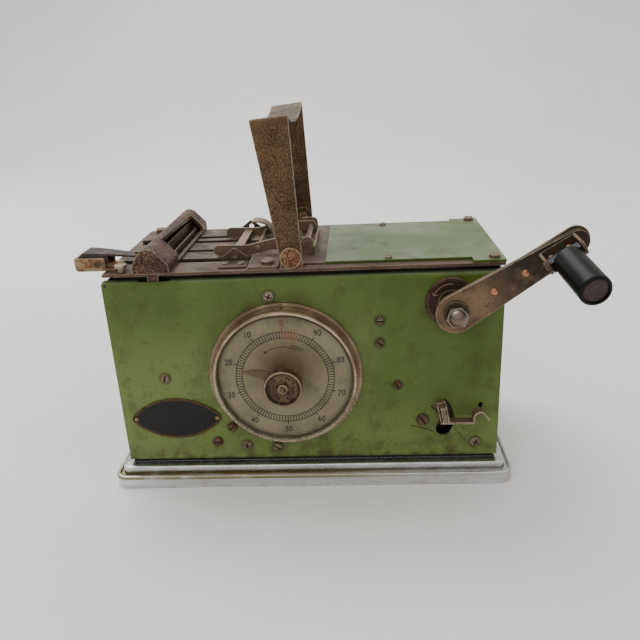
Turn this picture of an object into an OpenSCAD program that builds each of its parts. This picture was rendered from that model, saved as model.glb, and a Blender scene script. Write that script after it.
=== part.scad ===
// Hand-cranked bus conductor's ticket machine: a green sheet-steel case on a stepped
// aluminium base, a slotted steel ticket bed with a press head and a hold-down yoke on top,
// a hundred-count dial and a selector lever in front, a folding crank and a carry handle.
// Millimetres. X runs to the right along the front, Y to the back, Z up.
// The origin is the centre of the base's underside.

/* [Case] */
// Width of the case
case_w = 260; // [254:1:268]
// Depth of the case
case_d = 122; // [120:1:128]
// Height of the case's panels
case_h = 134.3; // [130:0.1:140]
// Thickness of the case's sheet steel
sheet_t = 1.2; // [0.9:0.1:1.5]
// Outer radius of the panels' top and bottom bends
bend_r = 2.6; // [2:0.1:3]
// Width of the panels' inward flanges
flange_w = 7; // [6:0.1:7.4]

/* [Base] */
// How far the base moulding stands out from the case on each side
base_over = 10.5; // [9:0.1:14]
// Height of the moulding's outer wall, up to its rolled lip
lip_z = 9.5; // [8.5:0.1:11]
// Height of the groove behind the lip
groove_z = 7.8; // [6.5:0.1:8.3]
// Height of the moulding's second step
step_z = 14.5; // [13:0.1:15.2]
// How far the second step stands in from the outer wall
step_in = 5.2; // [4:0.1:6.5]
// Height of the seat on which the case stands
seat_z = 16.4; // [15.8:0.1:18]
// Corner radius of the moulding
base_r = 9; // [8:0.5:11]
// Thickness of the base's closing plate
base_plate_t = 2; // [1.5:0.1:3]

/* [Frame] */
// Thickness of the two inner frame plates
frame_t = 2; // [1.6:0.1:2.6]
// Depth from a panel's outer face to its frame plate
frame_in = 8; // [7.8:0.1:9]
// Radius of the posts that hold the frame plates apart
post_r = 5; // [4.5:0.1:6]

/* [Ticket bed] */
// Thickness of the bed plate
bed_t = 2; // [1.6:0.1:2.6]
// Gap between the case's top bend and the bed plate
bed_gap = 3.3; // [2.6:0.1:4]
// How far the bed plate's long edges stand in from the case's faces
bed_in = 2.5; // [2.2:0.1:2.8]
// How far the bed plate's left end stands in from the case's
bed_left_in = 0.6; // [-2:0.1:2]
// How far the bed's four slots start in from the case's left end
slot_in = 6; // [5:1:12]
// Right end of the bed's four slots
slot_x1 = -18; // [-24:1:-16]
// Thickness of the green top cover
cover_t = 1.6; // [1.2:0.1:2]

/* [Dial] */
// Dial centre, from the middle of the case
dial_x = -13.5; // [-14.5:0.1:-12.5]
// Dial centre, above the floor
dial_z = 82.4; // [81.4:0.1:83.4]
// Outer radius of the dial's bezel
bezel_r = 52; // [51.4:0.1:53]
// Radius of the bezel's opening
bezel_in_r = 44.9; // [44:0.1:45.4]
// How far the bezel stands out from the case
bezel_h = 8.6; // [8.4:0.1:10]
// Distance from the case to the front of the dial's face
dial_up = 4.8; // [4:0.1:5]
// Radius of the setting knob
knob_r = 12.8; // [12:0.1:14.5]
// Distance from the case to the knob's face
knob_h = 22.5; // [22:0.5:28]
// Count at which the pointer stands
pointer_count = 22; // [0:0.5:99]

/* [Crank] */
// Distance of the crank's axis in from the case's right end
crank_in = 34.1; // [33.2:0.1:35]
// Depth of the crank's axis below the case's top
crank_down = 19.1; // [18.3:0.1:19.7]
// Radius of the crankshaft in its bushes
shaft_r = 5; // [4.6:0.1:5.2]
// Distance from the case to the back of the crank arm
arm_out = 20; // [18:0.5:24]
// Thickness of the crank arm
arm_t = 3; // [2.5:0.1:4]
// Radius of the arm's hub end
arm_hub_r = 12.3; // [11.5:0.1:13]
// Radius of the arm's outer end
arm_end_r = 7; // [6.5:0.1:8.5]
// Distance between the centres of the arm's ends
arm_len = 81; // [78:0.5:84]
// Angle of the arm above the horizontal
arm_angle = 32; // [0:1:60]
// Distance of the folding grip from the crank's axis
grip_along = 70; // [68:0.5:70]
// Radius of the grip
grip_r = 8.9; // [8.5:0.1:9.2]
// Length of the turning grip
grip_len = 37.5; // [30:0.5:42]
// Angle by which the grip leans from square
grip_lean = 12; // [0:1:20]
// Width of the grip's folding block between its ears
fork_w = 19.4; // [18:0.2:20]
// Radius of the direction disc behind the crank
escutcheon_r = 16.5; // [15:0.5:18]

/* [Gear train] */
// Module of the counting train's teeth
gear_m = 0.8; // [0.75:0.01:0.82]
// Width of each wheel's rim
gear_w = 3; // [2.4:0.1:3.2]
// Play between meshing teeth, measured on the pitch circle
backlash = 0.16; // [0.12:0.01:0.24]
// Radius of the studs on which the wheels turn
stud_r = 2; // [1.6:0.1:2.2]

/* [Selector] */
// Selector pivot, in from the case's right end
selector_in = 51.4; // [50.4:0.1:52.4]
// Selector pivot, above the floor
selector_z = 46.2; // [45:0.1:48]
// Inner radius of the selector's arc slot
arc_r0 = 11; // [10:0.1:11.6]
// Outer radius of the selector's arc slot
arc_r1 = 21.3; // [21:0.1:23]

/* [Press head] */
// Width of the press head across the tickets' path
head_w = 24; // [22:0.5:26]
// Height of the press head
head_h = 16.5; // [15.5:0.5:20]
// Distance of the press head's centre from the case's left end
head_in = 34; // [33:0.5:35]
// Wall thickness of the press head
head_t = 2.2; // [1.8:0.1:2.6]
// Width of the tangs that carry the press head
tang_w = 7.2; // [6:0.1:8]
// How far the press head lifts
press_lift = 3.5; // [2.5:0.1:3.6]

/* [Carry handle] */
// Handle pivot, from the middle of the case
handle_x = -5; // [-6:0.5:-4]
// Height of the handle's pivot above the bed plate
handle_up = 8.5; // [8:0.5:10]
// Length of the handle from its pivot
handle_len = 85.5; // [80:0.5:90]
// Width of the handle at its pivot
handle_w0 = 14; // [13:0.5:15]
// Width of the handle at its top
handle_w1 = 23.4; // [18:0.1:25]
// Thickness of the handle's strip
handle_t = 1.8; // [1.5:0.1:2]
// Depth of the dip in the handle's cross-piece
handle_dip = 5.5; // [3:0.5:10]
// Angle by which the handle leans to the left
handle_lean = 5.5; // [0:0.1:12]

/* [Hold-down yoke] */
// Yoke shaft, from the middle of the case
yoke_x = 3.2; // [2.6:0.1:3.6]
// Height of the yoke's shaft above the bed plate
yoke_up = 7.8; // [7.5:0.1:8.4]
// Radius of the yoke's shaft
yoke_shaft_r = 1.8; // [1.5:0.1:2]
// Length of the yoke's arms
yoke_len = 60.8; // [58:0.2:62]

/* [Fits] */
// Running clearance of a shaft in its bore, on the radius
run_fit = 0.05; // [0.03:0.01:0.08]
// Clearance of a screw or stud in its hole, on the radius
hole_fit = 0.15; // [0.1:0.01:0.3]
// Clearance between pieces that pass one another
gap = 0.3; // [0.3:0.05:0.5]

/* [Hidden] */
$fn = 64;
green = [0.50, 0.60, 0.36];
chrome = [0.80, 0.80, 0.78];
bed_steel = [0.47, 0.43, 0.38];
rusty = [0.40, 0.30, 0.20];
dark_brown = [0.27, 0.21, 0.17];
plum = [0.34, 0.27, 0.26];
bright_steel = [0.70, 0.69, 0.66];
brass = [0.72, 0.58, 0.30];
copper = [0.78, 0.47, 0.30];
black = [0.07, 0.07, 0.08];
enamel = [0.80, 0.79, 0.70];
inner_steel = [0.58, 0.58, 0.57];

// The case
case_x = case_w / 2;
case_y = case_d / 2;
case_top = seat_z + case_h;
frame_y = case_y - frame_in;
bed_top = case_top + bed_gap + bed_t;
bed_y = case_y - bed_in;
bed_x0 = -case_x + bed_left_in;
slot_x0 = -case_x + slot_in;
moulding_wall = 20;
lip_r = 1.2;
lip_w = 2.6;
post_points = [[case_x - 15.1, seat_z + 11.7], [-44.3, seat_z + 11.9],
               [-21.1, case_top - 11.9], [-case_x + 33.6, 81.6]];
screw_r = 1.9;
screw_head_r = 3.6;
screw_head_h = 2.2;
screw_in = 2.5;

// The bed's slots: each row is a slot's low and high Y
bed_slots = [[-36, -27], [-10, -4], [15, 22], [28, 35]];
bridge_t = 1;
narrow_x0 = 16;
wide_x0 = case_x - 20;
narrow_y = 50;
cover_y = bed_y - 0.5;
cover_over = 0.5;

// The crank
crank_x = case_x - crank_in;
crank_z = case_top - crank_down;
arm_back = -case_y - arm_out;
arm_front = arm_back - arm_t;
bush_r = 8;
bush_flange_r = 10.5;
escutcheon_t = 1.5;
collar_r = 7;
spigot_r = 4;
washer_r = 8.6;
washer_t = 1.4;
nut_flats = 12;
nut_h = 5.5;
dome_r = 5.4;
rivet_r = 2.7;
rivet_at = [26, 47, grip_along - 6.5, grip_along + 5];
rivet_shank_r = 1.5;
backing_t = 1.5;
ear_t = 1.5;
pin_r = 1.6;
pin_out = 7.4;
ear_r = 5;
ear_reach = 2;
barrel_r = 3.4;
spindle_r = 3;
grip_start = 5.5;
cap_r = 6.7;
cap_t = 1.2;

// The counting train: pinions of 12 leaves, wheels of 60, 48 and 60 teeth, and an idler
// that fills the distance between the crank's axis and the dial's
leaves = 12;
wheel_1 = 60;
wheel_2 = 48;
wheel_4 = 60;
layer_gap = 1;
pinion_core_r = 3.9;
layer_1 = -frame_y + frame_t + layer_gap + 2 * (gear_w + layer_gap);
layer_2 = -frame_y + frame_t + layer_gap + gear_w + layer_gap;
layer_3 = -frame_y + frame_t + layer_gap;
function centres(a, b) = gear_m * (a + b) / 2;
train_dx = dial_x - crank_x;
train_dz = dial_z - crank_z;
train_len = norm([train_dx, train_dz]);
train_dir = atan2(train_dz, train_dx);
reach_2 = centres(leaves, wheel_1) + centres(leaves, wheel_2);
rest_len = train_len - reach_2;
idler_teeth = ceil(rest_len / gear_m - (leaves + wheel_4) / 2) + 1;
idler_a = centres(leaves, idler_teeth);
idler_b = centres(idler_teeth, wheel_4);
idler_foot = (idler_a * idler_a - idler_b * idler_b + rest_len * rest_len) / (2 * rest_len);
idler_side = sqrt(idler_a * idler_a - idler_foot * idler_foot);
function on_train(l, s) = [crank_x + l * cos(train_dir) - s * sin(train_dir),
                           crank_z + l * sin(train_dir) + s * cos(train_dir)];
axis_1 = on_train(centres(leaves, wheel_1), 0);
axis_2 = on_train(reach_2, 0);
axis_3 = on_train(reach_2 + idler_foot, idler_side);
axis_4 = [dial_x, dial_z];

// The dial
face_t = 1.2;
face_r = bezel_in_r + 0.4;
ledge_r = bezel_in_r + 0.7;
seat_r = ledge_r - 3;
glass_r = bezel_in_r + 1.3;
glass_z0 = dial_up + 1;
glass_t = 1.5;
flange_t = 2.2;
ring_r = bezel_r - 3.6;
pointer_z0 = dial_up + 0.3;
pointer_t = 0.5;
arbor_r = 2;
pointer_angle = pointer_count * 3.6;

// The press
head_x = -case_x + head_in;
head_end_t = 2.5;
tang_t = 1.5;
tang_y = case_y - head_end_t - tang_t;
yoke_bar_z = bed_top - 35;
yoke_bar_h = 8;
rocker_x = -70;
rocker_z = yoke_bar_z - 21;
rocker_r = 4;
rocker_drop = 30;
rocker_y = 8;
rocker_w = 6;
pitman_t = 3;
throw = 2;
eccentric_r = 9;
pitman_y = rocker_y + rocker_w + 1;
link_pin_r = 2.5;

// The selector
selector_x = case_x - selector_in;
arc_low = -28;
arc_high_in = 62;
arc_high_out = 46;
tab_angle = 30.6;
tab_r = 15.3;
tab_w = 6.2;
tab_h = 12.4;
neck_h = 6.4;
tab_lean = 12;
shelf_y0 = -case_y - 10;
shelf_y1 = -case_y - 2.7;

// The handle
handle_z = bed_top + handle_up;
arm_gap = 0.5;
handle_y = bed_y + arm_gap;
ear_w = 2;
pivot_head_r = 6.6;
pivot_head_t = 2.6;

// The yoke
yoke_z = bed_top + bridge_t + yoke_up - 1;
yoke_front = -23;
yoke_rear = 25.6;
yoke_t = 1.4;

// ---- Helpers ----------------------------------------------------------------------

// Extrudes an outline drawn in X and Z along Y
module along_y(y0, y1) {
    translate([0, y1, 0]) rotate([90, 0, 0]) linear_extrude(y1 - y0) children();
}

// Extrudes an outline drawn in Y and Z along X
module along_x(x0, x1) {
    translate([x0, 0, 0]) rotate([90, 0, 90]) linear_extrude(x1 - x0) children();
}

module rod_y(x, z, y0, y1, r) {
    translate([x, y1, z]) rotate([90, 0, 0]) cylinder(r = r, h = y1 - y0);
}

// A box from its low corner to its high corner
module block(low, high) {
    translate(low) cube(high - low);
}

// A revolved outline whose axis points to the front, standing on the case's front face
module turned_front(x, z) {
    translate([x, -case_y, z]) rotate([90, 0, 0]) rotate_extrude() children();
}

// Sweeps an outline round a rectangle with round corners. The outline's X runs from the
// corner's centre outwards
module edge_ring(w, d, r) {
    for (q = [0:3]) {
        sx = (q == 0 || q == 3) ? 1 : -1;
        sy = (q < 2) ? 1 : -1;
        translate([sx * (w / 2 - r), sy * (d / 2 - r), 0]) rotate(q * 90)
            rotate_extrude(angle = 90) children();
    }
    for (turn = [0, 180]) rotate(turn) translate([w / 2 - r, d / 2 - r, 0])
        rotate([90, 0, 0]) linear_extrude(d - 2 * r) children();
    for (turn = [90, 270]) rotate(turn) translate([d / 2 - r, w / 2 - r, 0])
        rotate([90, 0, 0]) linear_extrude(w - 2 * r) children();
}

// A bar with round ends of two radii, from p to q. Its sides run a hair inside the tangents
hair = 0.02;
module tapered_bar(p, q, rp, rq) {
    len = norm(q - p);
    a = acos((rp - rq) / len);
    dir = atan2(q[1] - p[1], q[0] - p[0]);
    ip = rp - hair;
    iq = rq - hair;
    translate(p) rotate(dir) {
        circle(rp);
        translate([len, 0]) circle(rq);
        polygon([[ip * cos(a), ip * sin(a)], [len + iq * cos(a), iq * sin(a)],
                 [len + iq * cos(a), -iq * sin(a)], [ip * cos(a), -ip * sin(a)]]);
    }
}

function arc(c, r, a0, a1, n) =
    [for (i = [0:n]) c + r * [cos(a0 + (a1 - a0) * i / n), sin(a0 + (a1 - a0) * i / n)]];

// One side of a strip that follows a path of points, moved sideways by d
function offset_path(p, d) = [for (i = [0:len(p) - 1])
    let (a = p[max(i - 1, 0)], b = p[min(i + 1, len(p) - 1)], v = (b - a) / norm(b - a))
    p[i] + d * [-v[1], v[0]]];

module strip_outline(path, t) {
    back = offset_path(path, t);
    polygon(concat(path, [for (i = [len(back) - 1:-1:0]) back[i]]));
}

// ---- Gears ------------------------------------------------------------------------
pressure = 25;
tooth_up = 0.8;
tooth_down = 1.05;

function inv_angle(a) = tan(a) * 180 / PI - a;
function flank_angle(rb, rp, teeth, r) =
    90 / teeth - backlash / 2 / rp * 180 / PI / 2 + inv_angle(pressure)
    - (r > rb ? inv_angle(acos(rb / r)) : 0);

// A toothed wheel's outline, with a tooth at the given angle
module gear_outline(teeth, turn) {
    rp = gear_m * teeth / 2;
    rb = rp * cos(pressure);
    ra = rp + tooth_up * gear_m;
    rf = rp - tooth_down * gear_m;
    r0 = max(rb, rf + 0.1 * gear_m);
    radii = [rf, r0, (r0 + ra) / 2, ra];
    half = [for (r = radii) flank_angle(rb, rp, teeth, r)];
    points = [for (k = [0:teeth - 1]) each concat(
        [for (i = [0:3]) let (a = turn + k * 360 / teeth - half[i]) radii[i] * [cos(a), sin(a)]],
        [for (i = [3:-1:0]) let (a = turn + k * 360 / teeth + half[i]) radii[i] * [cos(a), sin(a)]])];
    polygon(points);
}

// The turn that brings a wheel's gap to the tooth of the wheel that it meshes with.
// dir is the direction from the first axis to the second, and first_turn the first's turn.
function mesh_turn(dir, first_turn, first_teeth, teeth) =
    dir + 180 - 180 / teeth - (first_turn - dir) * first_teeth / teeth;

dir_23 = atan2(axis_3[1] - axis_2[1], axis_3[0] - axis_2[0]);
dir_34 = atan2(axis_4[1] - axis_3[1], axis_4[0] - axis_3[0]);
turn_0 = train_dir;
turn_1 = mesh_turn(train_dir, turn_0, leaves, wheel_1);
turn_2 = mesh_turn(train_dir, turn_1, leaves, wheel_2);
turn_3 = mesh_turn(dir_23, turn_2, leaves, idler_teeth);
turn_4 = mesh_turn(dir_34, turn_3, idler_teeth, wheel_4);

module wheel(at, teeth, turn, y0, y1) {
    translate([at[0], 0, at[1]]) along_y(y0, y1) gear_outline(teeth, turn);
}

// ---- Base and case ----------------------------------------------------------------

base_w = case_w + 2 * base_over;
base_d = case_d + 2 * base_over;

// The moulding's outline from its corner's centre outwards: the step, the groove and the lip
function moulding_outline() = concat(
    [[0, 0], [base_r - 0.4, 0], [base_r, 0.4]],
    arc([base_r - lip_r, lip_z - lip_r], lip_r, 0, 90, 3),
    arc([base_r - lip_w + lip_r, lip_z - lip_r], lip_r, 100, 180, 3),
    [[base_r - lip_w, groove_z], [base_r - step_in, groove_z]],
    arc([base_r - step_in - lip_r, step_z - lip_r], lip_r, 0, 90, 3),
    [[0, step_z]]);

module base_moulding() {
    core_w = base_w - 2 * base_r;
    core_d = base_d - 2 * base_r;
    hollow_w = base_w - 2 * moulding_wall;
    hollow_d = base_d - 2 * moulding_wall;
    color(chrome) difference() {
        union() {
            edge_ring(base_w, base_d, base_r) polygon(moulding_outline());
            translate([-core_w / 2, -core_d / 2, 0]) cube([core_w, core_d, step_z]);
            translate([2 - case_x, 2 - case_y, step_z - 1])
                cube([case_w - 4, case_d - 4, seat_z - step_z + 1]);
        }
        translate([-hollow_w / 2, -hollow_d / 2, -1]) cube([hollow_w, hollow_d, seat_z + 2]);
        translate([-hollow_w / 2 - 5, -hollow_d / 2 - 5, -1])
            cube([hollow_w + 10, hollow_d + 10, base_plate_t + 1]);
    }
}

module base_plate() {
    w = base_w - 2 * moulding_wall + 10 - 2 * gap;
    d = base_d - 2 * moulding_wall + 10 - 2 * gap;
    color(inner_steel) linear_extrude(base_plate_t) square([w, d], center = true);
}

// The outline of a panel: a wall with an inward flange at its top and bottom
module bent_sheet() {
    translate([0, bend_r]) square([sheet_t, case_h - 2 * bend_r]);
    for (m = [0, 1]) translate([0, m * case_h]) mirror([0, m]) {
        translate([bend_r, 0]) square([flange_w - bend_r, sheet_t]);
        intersection() {
            square([bend_r, bend_r]);
            translate([bend_r, bend_r]) difference() {
                circle(bend_r);
                circle(bend_r - sheet_t);
            }
        }
    }
}

module plain_panel() {
    along_x(-case_x, case_x) translate([-case_y, seat_z]) bent_sheet();
}

// The notch in a panel's top flange that the press head's tang passes
module tang_notch() {
    block([head_x - tang_w / 2 - 7, -tang_y - tang_t - 0.5, case_top - sheet_t - 1],
          [head_x + tang_w / 2 + 7, -case_y + flange_w + 1, case_top + 1]);
}

cross_at = [post_points[0], post_points[1], post_points[2]];
slotted_at = [[50.5, 119.8], [50.2, 104.1], [61.6, 72.9], post_points[3],
              [-53.6, 43], [-64.9, 31.5], [-23, dial_z - bezel_r - 3.8]];
plate_at = [-case_x + 38, 50.7];
rivet_in = 28.5;

module front_panel() {
    color(green) difference() {
        plain_panel();
        tang_notch();
        for (p = concat(cross_at, slotted_at))
            rod_y(p[0], p[1], -case_y - 1, -case_y + 3, screw_r + hole_fit);
        for (s = [-1, 1])
            rod_y(plate_at[0] + s * rivet_in, plate_at[1], -case_y - 1, -case_y + 3, 0.8 + hole_fit);
        rod_y(crank_x, crank_z, -case_y - 1, -case_y + 3, bush_r + gap);
        rod_y(dial_x, dial_z, -case_y - 1, -case_y + 3, arbor_r + 3);
        rod_y(selector_x, selector_z, -case_y - 1, -case_y + 3, 2 + hole_fit);
        translate([selector_x, 0, selector_z]) along_y(-case_y - 1, -case_y + 3) arc_slot();
        along_y(-case_y - 1, -case_y + 3) keyhole();
    }
}

module arc_slot() {
    polygon(concat(arc([0, 0], arc_r1, arc_low, arc_high_out, 20),
                   arc([0, 0], arc_r0, arc_high_in, arc_low, 24)));
    mid = (arc_r0 + arc_r1) / 2;
    translate(mid * [cos(arc_low), sin(arc_low)]) circle((arc_r1 - arc_r0) / 2);
}

module keyhole() {
    translate([selector_x + 38.9, selector_z + 9.2]) {
        translate([0, 1.4]) circle(1.5);
        translate([-0.9, -3.2]) square([1.8, 4.6]);
    }
}

module rear_panel() {
    color(green) difference() {
        mirror([0, 1, 0]) difference() {
            plain_panel();
            tang_notch();
        }
        for (p = post_points) rod_y(p[0], p[1], case_y - 3, case_y + 1, screw_r + hole_fit);
    }
}

// An end's sheet, with its corners cut away behind the panels' bends
module end_panel(x0) {
    y = case_y - sheet_t;
    z0 = seat_z + sheet_t;
    z1 = case_top - sheet_t;
    cut = bend_r - sheet_t;
    color(green) along_x(x0, x0 + sheet_t) polygon([[-y + cut, z0], [y - cut, z0], [y, z0 + cut],
        [y, z1 - cut], [y - cut, z1], [-y + cut, z1], [-y, z1 - cut], [-y, z0 + cut]]);
}

module left_end_panel() {
    end_panel(-case_x);
}

module right_end_panel() {
    end_panel(case_x - sheet_t);
}

// ---- Inner frame ------------------------------------------------------------------

module frame_plate_blank(y0) {
    x = case_x - 6;
    slot_w = tang_w / 2 + gap;
    bar_top = yoke_bar_z + yoke_bar_h + press_lift + gap;
    difference() {
        block([-x, y0, seat_z], [x, y0 + frame_t, bed_top - bed_t]);
        block([head_x - slot_w, y0 - 1, yoke_bar_z - gap], [head_x + slot_w, y0 + frame_t + 1, bar_top]);
        for (p = post_points) rod_y(p[0], p[1], y0 - 1, y0 + frame_t + 1, screw_r + hole_fit);
        rod_y(crank_x, crank_z, y0 - 1, y0 + frame_t + 1, bush_r + run_fit);
        rod_y(rocker_x, rocker_z, y0 - 1, y0 + frame_t + 1, rocker_r + run_fit);
        rod_y(feed_x, feed_z, y0 - 1, y0 + frame_t + 1, feed_shaft_r + run_fit);
    }
}

module front_frame_plate() {
    color(inner_steel) difference() {
        frame_plate_blank(-frame_y);
        rod_y(dial_x, dial_z, -frame_y - 1, -frame_y + frame_t + 1, arbor_r + run_fit);
        for (p = [axis_1, axis_2, axis_3])
            rod_y(p[0], p[1], -frame_y - 1, -frame_y + frame_t + 1, stud_r + run_fit);
        rod_y(selector_x, selector_z, -frame_y - 1, -frame_y + frame_t + 1, 2 + hole_fit);
    }
}

module rear_frame_plate() {
    color(inner_steel) frame_plate_blank(frame_y - frame_t);
}

module frame_posts() {
    y = frame_y - frame_t;
    color(inner_steel) for (p = post_points) difference() {
        rod_y(p[0], p[1], -y, y, post_r);
        for (s = [-1, 1]) rod_y(p[0], p[1], s * y - 5, s * y + 5, screw_r + run_fit);
    }
}

module panel_standoffs() {
    color(inner_steel) for (p = post_points) {
        difference() {
            rod_y(p[0], p[1], -case_y + sheet_t, -frame_y, post_r - 1);
            rod_y(p[0], p[1], -case_y, -frame_y + 1, screw_r + hole_fit);
        }
        difference() {
            rod_y(p[0], p[1], frame_y, case_y - sheet_t, post_r - 1);
            rod_y(p[0], p[1], frame_y - 1, case_y, screw_r + hole_fit);
        }
    }
}

// ---- Ticket bed and cover ---------------------------------------------------------

feed_x = -50;
feed_shaft_r = 3;
feed_r = 9;
feed_z = bed_top - feed_r - 0.2;

module bed_plate() {
    notch_x = tang_w / 2 + gap;
    color(bed_steel) difference() {
        block([bed_x0, -bed_y, bed_top - bed_t], [case_x, bed_y, bed_top]);
        for (s = bed_slots) block([slot_x0, s[0], bed_top - bed_t - 1], [slot_x1, s[1], bed_top + 1]);
        for (s = [-1, 1]) mirror([0, (s + 1) / 2, 0])
            block([head_x - notch_x, -bed_y - 1, bed_top - bed_t - 1],
                  [head_x + notch_x, -tang_y + gap, bed_top + 1]);
    }
}

module top_cover() {
    color(green) translate([0, 0, bed_top]) linear_extrude(cover_t) {
        translate([narrow_x0, -narrow_y]) square([wide_x0 - narrow_x0, 2 * narrow_y]);
        translate([wide_x0, -cover_y]) square([case_x + cover_over - wide_x0, 2 * cover_y]);
    }
}

// Small steel plates that lie on the bed: the bridge under the yoke's bracket, the plate
// beside the handle and the raised corner plate at the back
spring_plate_t = 2;
corner_t = 2;
module deck_plates() {
    z = bed_top;
    color(bed_steel) {
        block([-1.5, -narrow_y, z], [narrow_x0 - 0.2, narrow_y, z + bridge_t]);
        block([-34, -bed_y, z], [-14, -29, z + spring_plate_t]);
        block([bed_x0 + 4, 21, z], [head_x - head_w / 2 - 3, 51, z + corner_t]);
    }
}

// A slotted cheese-head screw standing on a face at height z
module top_screw(x, y, z, r, h, turn) {
    translate([x, y, z]) rotate(turn) difference() {
        union() {
            cylinder(r = r - 0.4, h = h);
            cylinder(r = r, h = h - 0.5);
        }
        translate([-r - 1, -0.5, h - 0.9]) cube([2 * r + 2, 1, 2]);
    }
}

guide_x = -44.3;
guide_y = 40;
guide_t = 1.3;
foot_d = 12.5;
module deck_screws() {
    z = bed_top + cover_t;
    color(bright_steel) {
        top_screw(case_x - 6, -cover_y + 6, z, 3.6, 2.6, 25);
        top_screw(case_x - 6, cover_y - 6, z, 3.6, 2.6, 70);
        top_screw(57, -narrow_y + 4, z, 2.6, 1.6, 10);
        top_screw(57, narrow_y - 4, z, 2.6, 1.6, 110);
        top_screw(-21.5, -50, bed_top + spring_plate_t, 4.3, 2.6, -35);
        top_screw(bed_x0 + 12, 46, bed_top + corner_t, 4, 3.2, 40);
        for (s = [-1, 1], dx = [-5.2, 5.2])
            top_screw(guide_x + dx, s * (guide_y + guide_t + foot_d / 2), bed_top + guide_t, 2.2, 1.4, dx * 9);
    }
}

// ---- Dial -------------------------------------------------------------------------

bezel_screw_r = 1.1;
bezel_screw_z = dial_z + bezel_r - 1.9;
bezel_seat = 1;
module dial_bezel() {
    color(bed_steel) difference() {
        bezel_ring();
        rod_y(dial_x, bezel_screw_z, -case_y - bezel_h - 1, -case_y - bezel_seat, bezel_screw_r + hole_fit);
    }
}

// A flat flange on the case, and inside it a raised ring with a round crest. The dial's face
// and glass lie on two steps inside the ring
module bezel_ring() {
    lip = glass_z0 + glass_t + 0.2;
    crest = (ring_r - bezel_in_r - 0.5) / 2;
    turned_front(dial_x, dial_z) polygon(concat([
        [seat_r, 0], [bezel_r, 0], [bezel_r, flange_t - 1], [bezel_r - 0.6, flange_t - 0.3],
        [bezel_r - 1.6, flange_t], [ring_r + 0.4, flange_t - 0.2], [ring_r, flange_t + 0.6]],
        arc([ring_r - crest, bezel_h - crest], crest, 0, 160, 8),
        [[bezel_in_r, lip + 0.1], [glass_r + gap, lip], [glass_r + gap, glass_z0], [ledge_r, glass_z0],
         [ledge_r, dial_up - face_t], [seat_r, dial_up - face_t]]));
}

module dial_face() {
    color(enamel) turned_front(dial_x, dial_z)
        translate([arbor_r + 1, dial_up - face_t]) square([face_r - arbor_r - 1, face_t]);
}

module dial_glass() {
    color([0.85, 0.9, 0.88, 0.35]) turned_front(dial_x, dial_z)
        translate([arbor_r + 1.2, glass_z0]) square([glass_r - arbor_r - 1.2, glass_t]);
}

// The pointer: a leaf-shaped vane and its hub
module dial_pointer() {
    vane = 30;
    y1 = -case_y - pointer_z0;
    color(dark_brown) translate([dial_x, 0, dial_z]) difference() {
        along_y(y1 - pointer_t, y1) {
            circle(4);
            rotate(90 + pointer_angle) polygon([[0, -1.6], [vane * 0.55, -3.2], [vane * 0.75, -2.4],
                [vane, 0], [vane * 0.75, 2.4], [vane * 0.55, 3.2], [0, 1.6]]);
        }
        rod_y(0, 0, y1 - pointer_t - 1, y1 + 1, arbor_r + 0.02);
    }
}

module pointer_arbor() {
    color(inner_steel) {
        rod_y(dial_x, dial_z, -case_y - knob_h + 4, layer_3 + gear_w + 1, arbor_r);
        wheel(axis_4, wheel_4, turn_4, layer_3, layer_3 + gear_w);
        rod_y(dial_x, dial_z, layer_3 - layer_gap + 0.2, layer_3, arbor_r + 2);
    }
}

module pointer_knob() {
    stem = bezel_h + 0.4;
    color(bed_steel) turned_front(dial_x, dial_z) polygon([
        [arbor_r + 0.02, stem], [5, stem], [5.4, knob_h - 9.5], [knob_r - 2.5, knob_h - 8],
        [knob_r - 0.5, knob_h - 7], [knob_r, knob_h - 6], [knob_r, knob_h - 1], [knob_r - 0.6, knob_h - 0.3],
        [knob_r - 1.4, knob_h], [knob_r - 2, knob_h - 0.3], [knob_r - 2.3, knob_h - 1.4],
        [3.6, knob_h - 1.8], [3.4, knob_h - 0.8], [2.2, knob_h - 0.2], [0, knob_h],
        [0, knob_h - 4 + 0.3], [arbor_r + 0.02, knob_h - 4 + 0.3]]);
}

// ---- Nameplate and front screws ---------------------------------------------------

plate_w = 63;
plate_h = 31;
rim_w = 1.1;
tip_r = 4;

// Two flat arcs that run smoothly into a round tip at each end
module long_oval(w, h, tip) {
    a = w / 2 - tip;
    b = h / 2;
    r = (a * a + b * b - tip * tip) / (2 * (b - tip));
    t = atan2(r - b, a);
    polygon(concat(arc([a, 0], tip, -t, t, 8), arc([0, b - r], r, t, 180 - t, 32),
        arc([-a, 0], tip, 180 - t, 180 + t, 8), arc([0, r - b], r, 180 + t, 360 - t, 32)));
}

module nameplate() {
    color(black) difference() {
        translate([plate_at[0], 0, plate_at[1]]) {
            along_y(-case_y - 0.6, -case_y) long_oval(plate_w, plate_h, tip_r);
            along_y(-case_y - 1, -case_y - 0.6) difference() {
                long_oval(plate_w, plate_h, tip_r);
                long_oval(plate_w - 2 * rim_w, plate_h - 2 * rim_w, tip_r - rim_w);
            }
        }
        for (s = [-1, 1])
            rod_y(plate_at[0] + s * rivet_in, plate_at[1], -case_y - 2, -case_y + 1, 0.8 + hole_fit);
    }
}

module nameplate_rivets() {
    color(brass) for (s = [-1, 1]) translate([plate_at[0] + s * rivet_in, -case_y, plate_at[1]])
        rotate([90, 0, 0]) rotate_extrude() polygon(concat(
            [[0, -sheet_t - 1], [0.8, -sheet_t - 1], [0.8, 0.6]],
            arc([0, 0.6], 1.5, 0, 45, 4), [[0, 1.7]]));
}

// A screw's head and shank, its head standing on the case's front face
module front_screw(p, r, h, shank) {
    translate([p[0], -case_y, p[1]]) rotate([90, 0, 0]) rotate_extrude()
        polygon([[0, -shank], [screw_r, -shank], [screw_r, 0], [r, 0], [r, h * 0.35],
                 [r * 0.8, h * 0.8], [r * 0.45, h], [0, h]]);
}

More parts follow.
